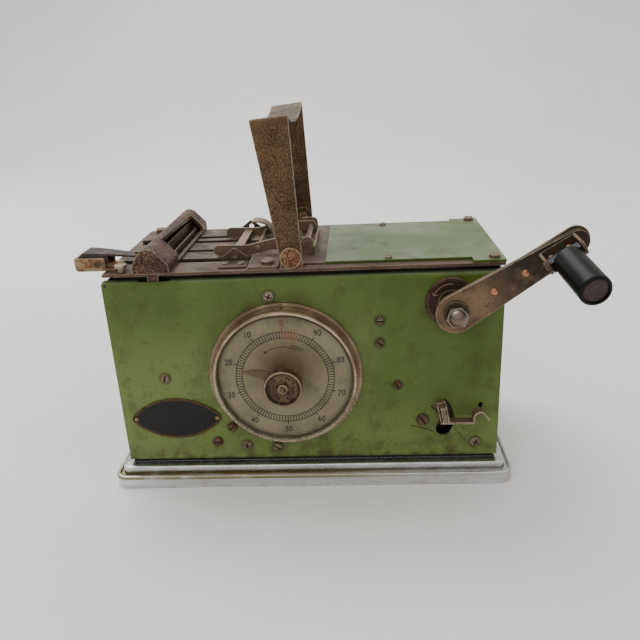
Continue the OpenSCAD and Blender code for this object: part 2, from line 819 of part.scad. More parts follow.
post_shank = frame_in + frame_t + screw_in;
module cross_head_screws() {
    color(bright_steel) {
        for (p = cross_at) cross_head(p, 1);
        mirror([0, 1, 0]) for (p = post_points) cross_head(p, 1);
    }
}

module cross_head(p, size) {
    y = -case_y - screw_head_h;
    difference() {
        front_screw(p, screw_head_r * size, screw_head_h, post_shank);
        translate([p[0], y - 1, p[1]]) for (a = [20, 110]) rotate([0, a, 0])
            translate([-2, 0, -0.4]) cube([4, 2.2, 0.8]);
    }
}

module slotted_screws() {
    color(bright_steel) {
        for (i = [0:len(slotted_at) - 1]) {
            p = slotted_at[i];
            small = i < 3 ? 0.85 : 0.95;
            difference() {
                front_screw(p, screw_head_r * small, screw_head_h, i == 3 ? post_shank : sheet_t + 3);
                translate([p[0], -case_y - screw_head_h - 1, p[1]]) rotate([0, 35 * i, 0])
                    translate([-5, 0, -0.45]) cube([10, 1.9, 0.9]);
            }
        }
        // The small screw in the top of the dial's bezel
        translate([dial_x, -case_y - bezel_seat, bezel_screw_z]) rotate([90, 0, 0]) rotate_extrude()
            polygon(concat([[0, 0], [bezel_screw_r, 0]], arc([0, 1.4], bezel_screw_r, 0, 90, 5)));
    }
}

// ---- Crank ------------------------------------------------------------------------

module crank_escutcheon() {
    color(dark_brown) turned_front(crank_x, crank_z) polygon([
        [bush_r + 0.1, 0], [escutcheon_r, 0], [escutcheon_r, escutcheon_t * 0.5],
        [escutcheon_r - 0.6, escutcheon_t], [escutcheon_r - 1.6, escutcheon_t],
        [escutcheon_r - 2, escutcheon_t - 0.4], [bush_r + 0.1, escutcheon_t - 0.4]]);
}

module crank_bushes() {
    y0 = -case_y - escutcheon_t;
    color(brass) {
        difference() {
            union() {
                rod_y(crank_x, crank_z, y0, -frame_y + frame_t, bush_r);
                rod_y(crank_x, crank_z, -frame_y + frame_t, -frame_y + frame_t + 1.6, bush_flange_r);
            }
            rod_y(crank_x, crank_z, y0 - 1, -frame_y + frame_t + 3, shaft_r + run_fit);
        }
        difference() {
            union() {
                rod_y(crank_x, crank_z, frame_y - frame_t, frame_y, bush_r);
                rod_y(crank_x, crank_z, frame_y - frame_t - 1.6, frame_y - frame_t, bush_flange_r);
            }
            rod_y(crank_x, crank_z, frame_y - frame_t - 3, frame_y + 1, shaft_r + run_fit);
        }
    }
}

module crank_shaft() {
    nose = arm_front - washer_t - nut_h - 2;
    color(inner_steel) {
        rod_y(crank_x, crank_z, nose, arm_back, spigot_r);
        rod_y(crank_x, crank_z, arm_back, -case_y - escutcheon_t - 0.3, collar_r);
        rod_y(crank_x, crank_z, arm_back + 1, layer_1 - 0.6, shaft_r);
        wheel([crank_x, crank_z], leaves, turn_0, layer_1 - 0.6, layer_1 + gear_w + 0.6);
        rod_y(crank_x, crank_z, layer_1 - 2, layer_1 + gear_w + 2, pinion_core_r);
        rod_y(crank_x, crank_z, layer_1 + gear_w + 0.6, frame_y + 0.5, shaft_r);
        rod_y(crank_x + throw, crank_z, pitman_y - 0.5, pitman_y + pitman_t + 0.5, eccentric_r);
    }
}

// Places children in the crank's own frame: X along the arm, Z across it
module on_crank() {
    translate([crank_x, 0, crank_z]) rotate([0, -arm_angle, 0]) children();
}

module crank_arm() {
    color(dark_brown) on_crank() difference() {
        union() {
            along_y(arm_front, arm_back) tapered_bar([0, 0], [arm_len, 0], arm_hub_r, arm_end_r);
            along_y(arm_back, arm_back + backing_t)
                tapered_bar([rivet_at[0] - 4, 0], [arm_len, 0.8], 8, arm_end_r + 1.2);
        }
        rod_y(0, 0, arm_front - 1, arm_back + 3, spigot_r + 0.02);
        for (l = rivet_at) rod_y(l, 0, arm_front - 1, arm_back + 3, rivet_shank_r + 0.02);
    }
}

module crank_washer() {
    color(bright_steel) difference() {
        rod_y(crank_x, crank_z, arm_front - washer_t, arm_front, washer_r);
        rod_y(crank_x, crank_z, arm_front - washer_t - 1, arm_front + 1, spigot_r + 0.02);
    }
}

module crank_nut() {
    y = arm_front - washer_t;
    color(bright_steel) difference() {
        union() {
            translate([crank_x, y, crank_z]) rotate([90, 0, 0]) rotate(10)
                cylinder(r = nut_flats / 2 / cos(30), h = nut_h, $fn = 6);
            translate([crank_x, y - nut_h, crank_z]) rotate([90, 0, 0]) rotate_extrude()
                polygon(concat([[0, 0]], arc([0, 0], dome_r, 0, 90, 10)));
        }
        rod_y(crank_x, crank_z, y - nut_h - 2.2, y + 1, spigot_r + 0.02);
    }
}

module crank_rivets() {
    color(copper) on_crank() for (i = [0:3]) {
        base = i < 2 ? arm_front : arm_front - ear_t;
        translate([rivet_at[i], base, 0]) rotate([90, 0, 0]) rotate_extrude() polygon(concat(
            [[0, base - arm_back - backing_t], [rivet_shank_r, base - arm_back - backing_t],
             [rivet_shank_r, 0]],
            arc([0, -0.9], rivet_r, 20, 90, 6)));
    }
}

// The folding grip's channel bracket: a riveted floor and two ears
module grip_bracket() {
    half = fork_w / 2 + 0.4;
    floor_h = 6.4;
    y = arm_front;
    tip_y = y - pin_out - ear_reach;
    color(dark_brown) on_crank() difference() {
        union() {
            block([grip_along - half - ear_t, y - ear_t, -floor_h], [grip_along + half + ear_t, y, floor_h]);
            for (s = [-1, 1]) translate([grip_along + s * (half + ear_t / 2), 0, 0])
                along_x(-ear_t / 2, ear_t / 2) {
                    translate([tip_y, 0]) circle(ear_r);
                    polygon([[y, -floor_h], [y, floor_h], [y - 2, floor_h], [tip_y, ear_r - hair],
                             [tip_y, hair - ear_r], [y - 2, -floor_h]]);
                }
        }
        translate([0, y - pin_out, 0]) rotate([0, 90, 0]) cylinder(r = pin_r + 0.02, h = 200);
        for (i = [2, 3]) rod_y(rivet_at[i], 0, y - 3, y + 1, rivet_shank_r + 0.02);
    }
}

module grip_hinge_pin() {
    half = fork_w / 2 + 0.4 + ear_t;
    color(bright_steel) on_crank() translate([grip_along - half - 0.8, arm_front - pin_out, 0])
        rotate([0, 90, 0]) {
            cylinder(r = pin_r, h = 2 * half + 1.6);
            cylinder(r = pin_r + 0.9, h = 0.8);
            translate([0, 0, 2 * half + 0.8]) cylinder(r = pin_r + 0.9, h = 0.8);
        }
}

// Places children in the grip's frame: Z runs out along the grip from the hinge
module on_grip() {
    on_crank() translate([grip_along, arm_front - pin_out, 0]) rotate([grip_lean, 0, 0])
        rotate([90, 0, 0]) children();
}

module grip_fork() {
    color(black) on_grip() difference() {
        union() {
            translate([-fork_w / 2, 0, 0]) rotate([0, 90, 0]) cylinder(r = barrel_r, h = fork_w);
            translate([-fork_w / 2, -barrel_r, 0]) cube([fork_w, 2 * barrel_r, grip_start - gap]);
            cylinder(r = spindle_r, h = grip_start + grip_len - 1.2 - cap_t);
        }
        translate([-fork_w, 0, 0]) rotate([0, 90, 0]) cylinder(r = pin_r + run_fit, h = 2 * fork_w);
    }
}

module crank_grip() {
    end = grip_start + grip_len;
    color(black) on_grip() rotate_extrude() polygon([
        [spindle_r + run_fit, grip_start], [grip_r - 1.2, grip_start], [grip_r, grip_start + 1.2],
        [grip_r, end - 1.4], [grip_r - 0.5, end - 0.4], [grip_r - 1.4, end],
        [cap_r + 0.3, end], [cap_r + 0.3, end - 1 - cap_t - gap],
        [spindle_r + run_fit, end - 1 - cap_t - gap]]);
}

module grip_end_cap() {
    color(dark_brown) on_grip() translate([0, 0, grip_start + grip_len - 1.2 - cap_t])
        cylinder(r = cap_r, h = cap_t);
}

// ---- Counting train ---------------------------------------------------------------

module gear_studs() {
    color(inner_steel) {
        rod_y(axis_1[0], axis_1[1], -frame_y - 0.8, layer_1 + gear_w + 0.2, stud_r);
        rod_y(axis_2[0], axis_2[1], -frame_y - 0.8, layer_2 + gear_w + 0.2, stud_r);
        rod_y(axis_3[0], axis_3[1], -frame_y - 0.8, layer_3 + gear_w + 0.2, stud_r);
    }
}

module first_wheel() {
    color(brass) difference() {
        union() {
            wheel(axis_1, wheel_1, turn_1, layer_1, layer_1 + gear_w);
            wheel(axis_1, leaves, turn_1, layer_2, layer_1);
        }
        rod_y(axis_1[0], axis_1[1], layer_2 - 1, layer_1 + gear_w + 1, stud_r + run_fit);
    }
}

module second_wheel() {
    color(brass) difference() {
        union() {
            wheel(axis_2, wheel_2, turn_2, layer_2, layer_2 + gear_w);
            wheel(axis_2, leaves, turn_2, layer_3, layer_2);
        }
        rod_y(axis_2[0], axis_2[1], layer_3 - 1, layer_2 + gear_w + 1, stud_r + run_fit);
    }
}

module idler_wheel() {
    color(brass) difference() {
        wheel(axis_3, idler_teeth, turn_3, layer_3, layer_3 + gear_w);
        rod_y(axis_3[0], axis_3[1], layer_3 - 1, layer_3 + gear_w + 1, stud_r + run_fit);
    }
}

// ---- Selector ---------------------------------------------------------------------

module selector_lever() {
    y_in = -case_y + sheet_t + gap;
    tab = tab_r * [cos(tab_angle), sin(tab_angle)];
    foot = tab + rotated([tab_w / 2, -tab_h / 2]);
    shelf_x = 34;
    shelf_z = foot[1] - 1.2;
    color(rusty) translate([selector_x, 0, selector_z]) {
        // The sector behind the case's front
        difference() {
            along_y(y_in, y_in + 1.5) {
                circle(5.5);
                polygon([[0, -4], tab + rotated([tab_w / 2 - 0.7, 0.7 - tab_h / 2]),
                    tab + rotated([tab_w / 2 - 0.7, tab_h / 2 - 0.7]),
                    tab + rotated([0.7 - tab_w / 2, tab_h / 2 - 0.7]), [0, 4.6]]);
            }
            rod_y(0, 0, -case_y, -frame_y, 2 + run_fit);
        }
        // The channel that stands out of the slot: a web and two cheeks
        translate([tab[0], 0, tab[1]]) rotate([0, -tab_lean, 0]) {
            block([-tab_w / 2, -case_y - 2.5, -tab_h / 2], [tab_w / 2, -case_y - 1, tab_h / 2]);
            block([0.4 - tab_w / 2, -case_y - 2, -neck_h / 2], [tab_w / 2 - 0.4, y_in + 1, neck_h / 2]);
            block([-tab_w / 2, shelf_y0 + 2, -tab_h / 2], [-tab_w / 2 + 1, -case_y - 2, tab_h / 2]);
            block([-tab_w / 2 + 1.8, shelf_y0 + 0.6, -tab_h / 2 + 0.8],
                  [tab_w / 2 - 1.6, -case_y - 2, tab_h / 2 - 1]);
            block([tab_w / 2 - 1, shelf_y0 + 0.6, -tab_h / 2], [tab_w / 2, -case_y - 2, tab_h / 2 - 0.6]);
        }
        // The bent strip that runs right from the channel's foot, and its sprung tip
        block([foot[0] - tab_w, shelf_y0, shelf_z], [shelf_x, shelf_y1, shelf_z + 1.2]);
        along_y(shelf_y0, shelf_y1) strip_outline(concat([[shelf_x - 0.6, shelf_z], [shelf_x, shelf_z]],
            arc([shelf_x + 3.4, shelf_z + 4.4], 3.6, 195, 60, 8), [[42.9, shelf_z + 2.4]]), 1);
    }
}

function rotated(v) = [v[0] * cos(tab_lean) - v[1] * sin(tab_lean),
                       v[0] * sin(tab_lean) + v[1] * cos(tab_lean)];

module selector_screw() {
    color(bright_steel) difference() {
        translate([selector_x, -case_y, selector_z]) rotate([90, 0, 0]) rotate_extrude()
            polygon([[0, -frame_in - frame_t], [2, -frame_in - frame_t], [2, 0], [4.2, 0], [4.2, 1.2],
                     [3.4, 2.2], [0, 2.4]]);
        translate([selector_x, -case_y - 3.4, selector_z]) rotate([0, 55, 0])
            translate([-6, 0, -0.5]) cube([12, 2, 1]);
    }
}

// ---- Press ------------------------------------------------------------------------

// The press head's outline, drawn in X and Z from the middle of its foot
module head_outline(inset) {
    w = head_w / 2 - inset;
    r = 4.5 - inset;
    top_r = 7 - inset;
    left_r = 12.5 - inset;
    polygon(concat([[w, 0]], arc([head_w / 2 - 4.5, 4], r, 0, 45, 5),
        arc([-1, head_h - 7], top_r, 45, 140, 10),
        arc([12.5 - head_w / 2, 2.5], left_r, 140, 180, 6), [[-w, 0]]));
}

module press_head() {
    window_y0 = -34;
    window_y1 = 46;
    ridge_0 = 1;
    ridge_1 = 3.4;
    sill = 2;
    color(rusty) {
        translate([head_x, 0, bed_top]) difference() {
            along_y(-case_y, case_y) head_outline(0);
            translate([0, 0, -0.01]) along_y(-case_y + head_end_t, case_y - head_end_t) head_outline(head_t);
            translate([0, 0, sill]) linear_extrude(head_h) polygon([[ridge_0, window_y0],
                [head_w, window_y0], [head_w, window_y1], [ridge_1, window_y1]]);
        }
        for (s = [-1, 1]) mirror([0, (s + 1) / 2, 0])
            block([head_x - tang_w / 2, -tang_y - tang_t, yoke_bar_z],
                  [head_x + tang_w / 2, -tang_y, bed_top + 7]);
    }
}

// The printing blade's two rails, joined at both ends
module press_blade() {
    low = bed_top + 1;
    end_y = tang_y - 6;
    color(bed_steel) translate([head_x, 0, 0]) {
        block([1.2, -tang_y, low], [2.7, tang_y, low + 9]);
        block([6.2, -tang_y, low], [7.4, tang_y, low + 4]);
        for (s = [-1, 1]) mirror([0, (s + 1) / 2, 0]) block([1.6, end_y, low], [7, tang_y, low + 4]);
    }
}

module press_yoke() {
    color(inner_steel) block([head_x - tang_w / 2, -tang_y, yoke_bar_z],
                             [head_x + tang_w / 2, tang_y, yoke_bar_z + yoke_bar_h]);
}

// The rocker that lifts the press: a shaft across the frame, an arm under the yoke bar and
// an arm down to the connecting rod
module press_rocker() {
    pad_r = 3.5;
    color(inner_steel) {
        rod_y(rocker_x, rocker_z, -frame_y - 0.5, frame_y + 0.5, rocker_r);
        along_y(rocker_y, rocker_y + rocker_w) {
            tapered_bar([rocker_x, rocker_z], [head_x, yoke_bar_z - gap - pad_r], 8, pad_r);
            tapered_bar([rocker_x, rocker_z], [rocker_x, rocker_z - rocker_drop], 8, 5);
        }
        rod_y(rocker_x, rocker_z - rocker_drop, rocker_y, pitman_y + pitman_t + 1, link_pin_r);
    }
}

// The connecting rod from the crankshaft's eccentric to the rocker
module pitman_rod() {
    small = [rocker_x, rocker_z - rocker_drop];
    big = [crank_x + throw, crank_z];
    eye = eccentric_r + 2 * throw + 0.6;
    y0 = pitman_y;
    y1 = pitman_y + pitman_t;
    color(inner_steel) difference() {
        union() {
            along_y(y0, y1) tapered_bar(small, big, 5.2, 6);
            rod_y(big[0], big[1], y0, y1, eye + 3.2);
        }
        rod_y(small[0], small[1], y0 - 1, y1 + 1, link_pin_r + 0.4);
        rod_y(big[0], big[1], y0 - 1, y1 + 1, eye);
    }
}

// ---- Left stop, flap and thumb screw ----------------------------------------------

stop_x0 = -case_x - 19.5;
stop_x1 = -case_x + 0.7;
stop_foot_x = -case_x + 7.4;
stop_y0 = -50;
stop_y1 = -29.5;
stop_h = 8.8;
stop_t = 1.4;
flap_pin_x = -case_x - 4.4;
flap_pin_z = bed_top + 4.7;
flap_pin_r = 1.6;

module stop_bracket() {
    z = bed_top;
    color(rusty) difference() {
        union() {
            block([stop_x0 + 2, stop_y0, z], [stop_foot_x, stop_y1, z + stop_t]);
            for (y = [stop_y0, stop_y1 - stop_t]) along_y(y, y + stop_t) {
                translate([stop_x0 + 2.5, z + 2.5]) circle(2.5);
                translate([stop_x0 + 2.5, z]) square([stop_x1 - stop_x0 - 2.5, stop_h - 1.5]);
                translate([stop_x0, z + 2.5]) square([stop_x1 - stop_x0 - 1.5, stop_h - 2.5]);
                translate([stop_x1 - 1.5, z + stop_h - 1.5]) circle(1.5);
            }
            block([stop_x0, stop_y0, z + 2.5], [stop_x0 + stop_t, stop_y1, z + stop_h]);
        }
        rod_y(flap_pin_x, flap_pin_z, stop_y0 - 1, stop_y1 + 1, flap_pin_r + 0.02);
    }
}

module flap_pin() {
    color(dark_brown) {
        rod_y(flap_pin_x, flap_pin_z, stop_y0 - 0.5, stop_y1 + 0.5, flap_pin_r);
        rod_y(flap_pin_x, flap_pin_z, stop_y0 - 0.5, stop_y0, flap_pin_r + 0.8);
        rod_y(flap_pin_x, flap_pin_z, stop_y1, stop_y1 + 0.5, flap_pin_r + 0.8);
    }
}

// The finger flap: a plate that tapers to the right, with a skirt down each side of the
// pin. Heights are from its top, and X from its pin
flap_h = 11.8;
flap_t = 1.4;
module stop_flap() {
    y0 = stop_y0 + stop_t + gap;
    y1 = stop_y1 - stop_t - gap;
    left = -10.8;
    right = 25.4;
    skirt = 7;
    low = flap_pin_z - bed_top - flap_h - 1.2;
    color(plum) translate([flap_pin_x, 0, bed_top + flap_h]) difference() {
        union() {
            intersection() {
                along_y(y0, y1) strip_outline([[left, -0.5], [left + 1.4, 0], [-2.6, 0], [skirt, -0.6],
                                               [right, -2.2]], -flap_t);
                translate([0, 0, -6]) linear_extrude(10) polygon([[left - 1, y0], [right + 1, y0],
                    [right - 3, y0 + 8.3], [left - 1, y1]]);
            }
            for (y = [y0, y1 - flap_t]) along_y(y, y + flap_t) polygon([[left + 0.6, -1], [left + 0.6, -4.2],
                [-3, low], [skirt - 4, low], [skirt, low + 1.4], [skirt, y > y0 ? -6 : -1], [-2.6, -0.7]]);
        }
        rod_y(0, flap_pin_z - bed_top - flap_h, y0 - 1, y1 + 1, flap_pin_r + run_fit);
    }
}

module thumb_screw() {
    color(bright_steel) translate([12.4 - case_x, 7.4 - case_y, bed_top]) rotate_extrude() polygon([
        [0, 0], [2.6, 0], [2.6, 2.6], [4.2, 3.4], [4.2, 5], [3.6, 5.5], [0, 5.6]]);
}

// ---- Middle mechanism -------------------------------------------------------------

// A three-cornered bracket with a hole near its top and a foot on the bed
module guide_bracket() {
    z = bed_top;
    difference() {
        union() {
            along_y(-guide_y - guide_t, -guide_y) {
                tapered_bar([guide_x, z + 7], [guide_x - 6.6, z + 2.6], 3, 2.6);
                tapered_bar([guide_x, z + 7], [guide_x + 6.4, z + 2.6], 3, 2.6);
                translate([guide_x - 9.2, z]) square([18.2, 2.8]);
                translate([guide_x - 4, z + 2]) square([8, 5]);
            }
            block([guide_x - 9.2, -guide_y - guide_t - foot_d, z],
                  [guide_x + 9, -guide_y - guide_t, z + guide_t]);
        }
        rod_y(guide_x, z + 5.7, -guide_y - guide_t - 1, -guide_y + 1, 1.9);
    }
}

module guide_brackets() {
    color(bed_steel) {
        guide_bracket();
        mirror([0, 1, 0]) guide_bracket();
    }
}

// An arm of the yoke, from its round left end to its eye on the shaft
module yoke_arm(y0, y1) {
    nose = [yoke_x - yoke_len, bed_top + 4.3];
    knee = [yoke_x - yoke_len + 20, bed_top + 4];
    bend = [yoke_x - 21, yoke_z + 0.5];
    along_y(y0, y1) {
        tapered_bar(nose, knee, 4, 3.6);
        tapered_bar(knee, bend, 3.6, 3.6);
        tapered_bar(bend, [yoke_x, yoke_z], 3.6, 3.9);
    }
}

web_x0 = -47.2;
web_x1 = -41.6;
leaf_z = 1.6;
leaf_y0 = 13;
leaf_y1 = 25;
cross_rod = [-31, 5.6];
module hold_down_yoke() {
    z = bed_top;
    color(rusty) difference() {
        union() {
            yoke_arm(yoke_front - yoke_t, yoke_front);
            yoke_arm(yoke_rear, yoke_rear + yoke_t);
            block([web_x0, yoke_front - 0.5, z + 4.8], [web_x1, yoke_rear + 0.5, z + 6]);
            block([web_x1, leaf_y0, z + 0.5], [-20, yoke_rear + 0.5, z + leaf_z]);
            rod_y(cross_rod[0], z + cross_rod[1], yoke_front - yoke_t - 0.4, yoke_rear + yoke_t + 0.4, 1.2);
        }
        rod_y(yoke_x, yoke_z, yoke_front - 5, yoke_rear + 5, yoke_shaft_r + run_fit);
    }
}

// The curled leaf that stands on the yoke's rear flange
module yoke_spring() {
    foot = [-36.5, bed_top + leaf_z];
    color(bright_steel) along_y(leaf_y0, leaf_y1)
        strip_outline(concat([foot + [13, 0]], arc(foot + [0, 1], 13, 0, 90, 14), [foot + [-3, 14]]), 1.2);
}

module yoke_shaft() {
    color(bright_steel) {
        rod_y(yoke_x, yoke_z, -27.6, 30.6, yoke_shaft_r);
        rod_y(yoke_x, yoke_z, -27.6, -27, yoke_shaft_r + 0.8);
    }
}

module yoke_bracket() {
    z = bed_top + bridge_t;
    color(dark_brown) difference() {
        union() {
            block([-0.9, -27, z], [8.7, 30, z + 1.2]);
            along_y(-27, -25.4) {
                translate([yoke_x + 0.1, yoke_z + 0.4]) circle(4.3);
                translate([yoke_x - 4.2, z]) square([8.6, yoke_z + 0.4 - z]);
            }
            along_y(28.4, 30) {
                translate([-4, z]) square([8, 12.6]);
                translate([-4, z]) square([12, 8.6]);
                translate([4, z + 8.6]) circle(4);
            }
            block([7.5, -27, z], [8.7, 30, z + 5]);
        }
        rod_y(yoke_x, yoke_z, -28, 31, yoke_shaft_r + run_fit);
    }
}

// ---- Carry handle -----------------------------------------------------------------

module handle_ears() {
    color(rusty) for (s = [0, 1]) mirror([0, s, 0]) difference() {
        union() {
            along_y(-bed_y, -bed_y + ear_w) {
                translate([handle_x, handle_z]) circle(handle_w0 / 2);
                translate([handle_x - handle_w0 / 2, bed_top]) square([handle_w0, handle_up]);
            }
            block([handle_x - handle_w0 / 2, -bed_y, bed_top],
                  [handle_x + handle_w0 / 2, -narrow_y - gap, bed_top + ear_w]);
        }
        rod_y(handle_x, handle_z, -bed_y - 1, -bed_y + 3, 3 + run_fit);
    }
}

module handle_pivots() {
    y = handle_y + handle_t + gap;
    color(copper) for (s = [0, 1]) mirror([0, s, 0]) {
        rod_y(handle_x, handle_z, -y, -bed_y + ear_w + 0.8, 3);
        rod_y(handle_x, handle_z, -y - pivot_head_t, -y, pivot_head_r);
    }
}

// The handle's path in Y and Z: up the front, over the dipped cross-piece, down the back
module handle_strip() {
    y0 = -handle_y - handle_t;
    top = handle_z + handle_len;
    r = 2.4;
    path = concat([[y0, handle_z - handle_w0]], arc([y0 + r, top - r], r, 180, 75, 6),
        [for (i = [0:16]) let (t = i / 16) [y0 + 5 + t * (-2 * y0 - 10),
            top - 0.8 - handle_dip * (1 - pow(abs(2 * t - 1), 2.2))]],
        arc([-y0 - r, top - r], r, 105, 0, 6), [[-y0, handle_z - handle_w0]]);
    strip_outline(path, -handle_t);
}

module carry_handle() {
    w0 = handle_w0 / 2;
    w1 = handle_w1 / 2;
    color(rusty) difference() {
        translate([handle_x, 0, handle_z]) rotate([0, -handle_lean, 0]) translate([-handle_x, 0, -handle_z])
            intersection() {
                along_x(handle_x - 20, handle_x + 20) handle_strip();
                union() {
                    rod_y(handle_x, handle_z, -case_y - 5, case_y + 5, w0 + hair);
                    along_y(-case_y - 5, case_y + 5) polygon([[handle_x - w0, handle_z],
                        [handle_x - w1, handle_z + handle_len + 1],
                        [handle_x + w1, handle_z + handle_len + 1], [handle_x + w0, handle_z]]);
                }
            }
        rod_y(handle_x, handle_z, -case_y - 5, case_y + 5, 3 + run_fit);
    }
}

// ---- Feed shaft -------------------------------------------------------------------

module feed_shaft() {
    color(inner_steel) {
        rod_y(feed_x, feed_z, -frame_y - 0.5, frame_y + 0.5, feed_shaft_r);
        for (s = [bed_slots[0], bed_slots[3]]) {
            mid = (s[0] + s[1]) / 2;
            rod_y(feed_x, feed_z, mid - 2.8, mid + 2.8, feed_r);
        }
    }
}

base_moulding();
base_plate();
front_panel();
rear_panel();
left_end_panel();
right_end_panel();
front_frame_plate();
rear_frame_plate();
frame_posts();
panel_standoffs();
bed_plate();
top_cover();
dial_bezel();
dial_face();
dial_glass();
dial_pointer();
pointer_arbor();
pointer_knob();
nameplate();
nameplate_rivets();
cross_head_screws();
slotted_screws();
crank_escutcheon();
crank_bushes();
crank_shaft();
crank_arm();
crank_washer();
crank_nut();
crank_rivets();
grip_bracket();
grip_hinge_pin();
grip_fork();
crank_grip();
grip_end_cap();
selector_lever();
selector_screw();
gear_studs();
first_wheel();
second_wheel();
idler_wheel();
press_head();
press_blade();
press_yoke();
press_rocker();
pitman_rod();
stop_bracket();
stop_flap();
flap_pin();
thumb_screw();
deck_plates();
guide_brackets();
deck_screws();
hold_down_yoke();
yoke_spring();
yoke_shaft();
yoke_bracket();
handle_ears();
handle_pivots();
carry_handle();
feed_shaft();
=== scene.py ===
# %% [markdown]
# # A bus conductor's ticket machine, dressed for its portrait
# The CAD frame gives every piece its shape and place. This notebook adds what makes the real
# machine look eighty years old: worn green enamel, dull plating, browned steel, a printed dial,
# soft edges on bent sheet metal, and the light of an overcast window on a pale table.

# %% Load the frame
import math
import bmesh
import bpy
from mathutils import Matrix, Vector


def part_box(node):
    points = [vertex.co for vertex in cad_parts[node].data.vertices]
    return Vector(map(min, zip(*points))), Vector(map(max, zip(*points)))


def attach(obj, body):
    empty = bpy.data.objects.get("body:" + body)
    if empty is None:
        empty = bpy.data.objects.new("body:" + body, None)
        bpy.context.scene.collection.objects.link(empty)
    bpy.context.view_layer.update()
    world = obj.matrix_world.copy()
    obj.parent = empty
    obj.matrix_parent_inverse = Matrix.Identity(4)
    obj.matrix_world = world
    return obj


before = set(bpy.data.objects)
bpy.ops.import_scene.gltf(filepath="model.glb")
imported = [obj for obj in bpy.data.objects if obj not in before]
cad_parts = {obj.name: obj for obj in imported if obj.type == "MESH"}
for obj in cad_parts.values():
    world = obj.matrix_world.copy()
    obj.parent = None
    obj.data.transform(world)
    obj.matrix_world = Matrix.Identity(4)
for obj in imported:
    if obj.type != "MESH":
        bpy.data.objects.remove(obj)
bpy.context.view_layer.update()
MM = 0.001

# %% [markdown]
# ## Camera
# The camera stands between the dial and the crank and looks down by about twenty-one degrees. Its
# place and lens were worked out from the machine's own straight edges, so the model lands on the
# same pixels as the real machine. A matrix built from the view's three directions says this more
# plainly than three turns would.

# %% Camera
def camera_axes(yaw, pitch, roll):
    """Right, up and back directions of a camera that looks along +Y when all angles are zero."""
    forward = Vector((math.sin(yaw) * math.cos(pitch), math.cos(yaw) * math.cos(pitch), -math.sin(pitch)))
    right = Vector((math.cos(yaw), -math.sin(yaw), 0))
    down = forward.cross(right)
    c, s = math.cos(roll), math.sin(roll)
    return c * right + s * down, s * right - c * down, -forward


camera_place = (0.0367, -0.46582, 0.27983)
camera_yaw, camera_pitch, camera_roll = -0.0623, 0.3724, 0.0504
camera_data = bpy.data.cameras.new("portrait_camera")
camera_data.sensor_width = 36.0
camera_data.lens = 37.53
camera_data.clip_start = 0.01
camera = bpy.data.objects.new("portrait_camera", camera_data)
bpy.context.scene.collection.objects.link(camera)
turned = Matrix(camera_axes(camera_yaw, camera_pitch, camera_roll)).transposed().to_4x4()
camera.matrix_world = Matrix.Translation(camera_place) @ turned
bpy.context.scene.camera = camera
print("camera at", [round(c, 3) for c in camera.location], "lens", camera_data.lens)

# %% [markdown]
# ## Table and light
# A sheet of pale paper that curves up behind the machine gives the photograph's plain ground with
# no horizon. The light is a broad window above and behind on the left, with a weak fill from the
# front and the room's soft light from everywhere else, so the top faces are bright, the front is
# calmer, and a faint shadow lies to the right. The room is darker low down than overhead, which
# puts light and dark bands into the plating and the nut.

# %% Paper sweep
def paper_sweep(depth=1.5, bend=0.9, half_width=4.0, front=-4.0, steps=24):
    """A floor that bends up into a wall behind the machine."""
    outline = [(front, 0.0), (depth, 0.0)]
    for i in range(1, steps + 1):
        a = math.pi / 2 * i / steps
        outline.append((depth + bend * math.sin(a), bend * (1 - math.cos(a))))
    outline.append((depth + bend, 4.0))
    verts = [(x, y, z) for y, z in outline for x in (-half_width, half_width)]
    faces = [(2 * i, 2 * i + 1, 2 * i + 3, 2 * i + 2) for i in range(len(outline) - 1)]
    mesh = bpy.data.meshes.new("paper_sweep")
    mesh.from_pydata(verts, [], faces)
    mesh.shade_smooth()
    sweep = bpy.data.objects.new("paper_sweep", mesh)
    bpy.context.scene.collection.objects.link(sweep)
    return sweep


paper = paper_sweep()
print("paper sweep:", len(paper.data.polygons), "faces")

# %% Window, fill and room
def window(name, place, target, size, power, colour):
    """A soft rectangular light that points at a target."""
    data = bpy.data.lights.new(name, "AREA")
    data.shape = "RECTANGLE"
    data.size, data.size_y = size
    data.energy = power
    data.color = colour
    lamp = bpy.data.objects.new(name, data)
    bpy.context.scene.collection.objects.link(lamp)
    lamp.location = place
    lamp.rotation_mode = "QUATERNION"
    lamp.rotation_quaternion = (Vector(target) - Vector(place)).to_track_quat("-Z", "Y")
    return lamp


window("window_light", (-0.7, 0.95, 1.8), (0, 0.1, 0.05), (1.9, 1.4), 36, (0.97, 0.99, 1.0))
window("front_fill", (-0.5, -1.6, 1.3), (0, 0, 0.1), (1.6, 1.0), 4, (1.0, 0.98, 0.95))
world = bpy.data.worlds.new("room")
bpy.context.scene.world = world
world.use_nodes = True
room = world.node_tree
direction = room.nodes.new("ShaderNodeSeparateXYZ")
room.links.new(room.nodes.new("ShaderNodeTexCoord").outputs["Generated"], direction.inputs[0])
overhead = room.nodes.new("ShaderNodeMapRange")
overhead.interpolation_type = "SMOOTHSTEP"
for limit, level in (("From Min", -0.05), ("From Max", 0.75), ("To Min", 0.42), ("To Max", 1.12)):
    overhead.inputs[limit].default_value = level
room.links.new(direction.outputs["Z"], overhead.inputs["Value"])
room.links.new(overhead.outputs[0], room.nodes["Background"].inputs["Strength"])
room.nodes["Background"].inputs["Color"].default_value = (0.92, 0.92, 0.91, 1)

# %% [markdown] ## A small kit for finishes Every finish here is a Principled shader fed by a few
# masks: soft blotches for age, fine specks for rust and dust, and a mask along edges where hands
# have rubbed the finish away. Everything reads Object coordinates, so a pattern stays on its
# piece when the machine moves.

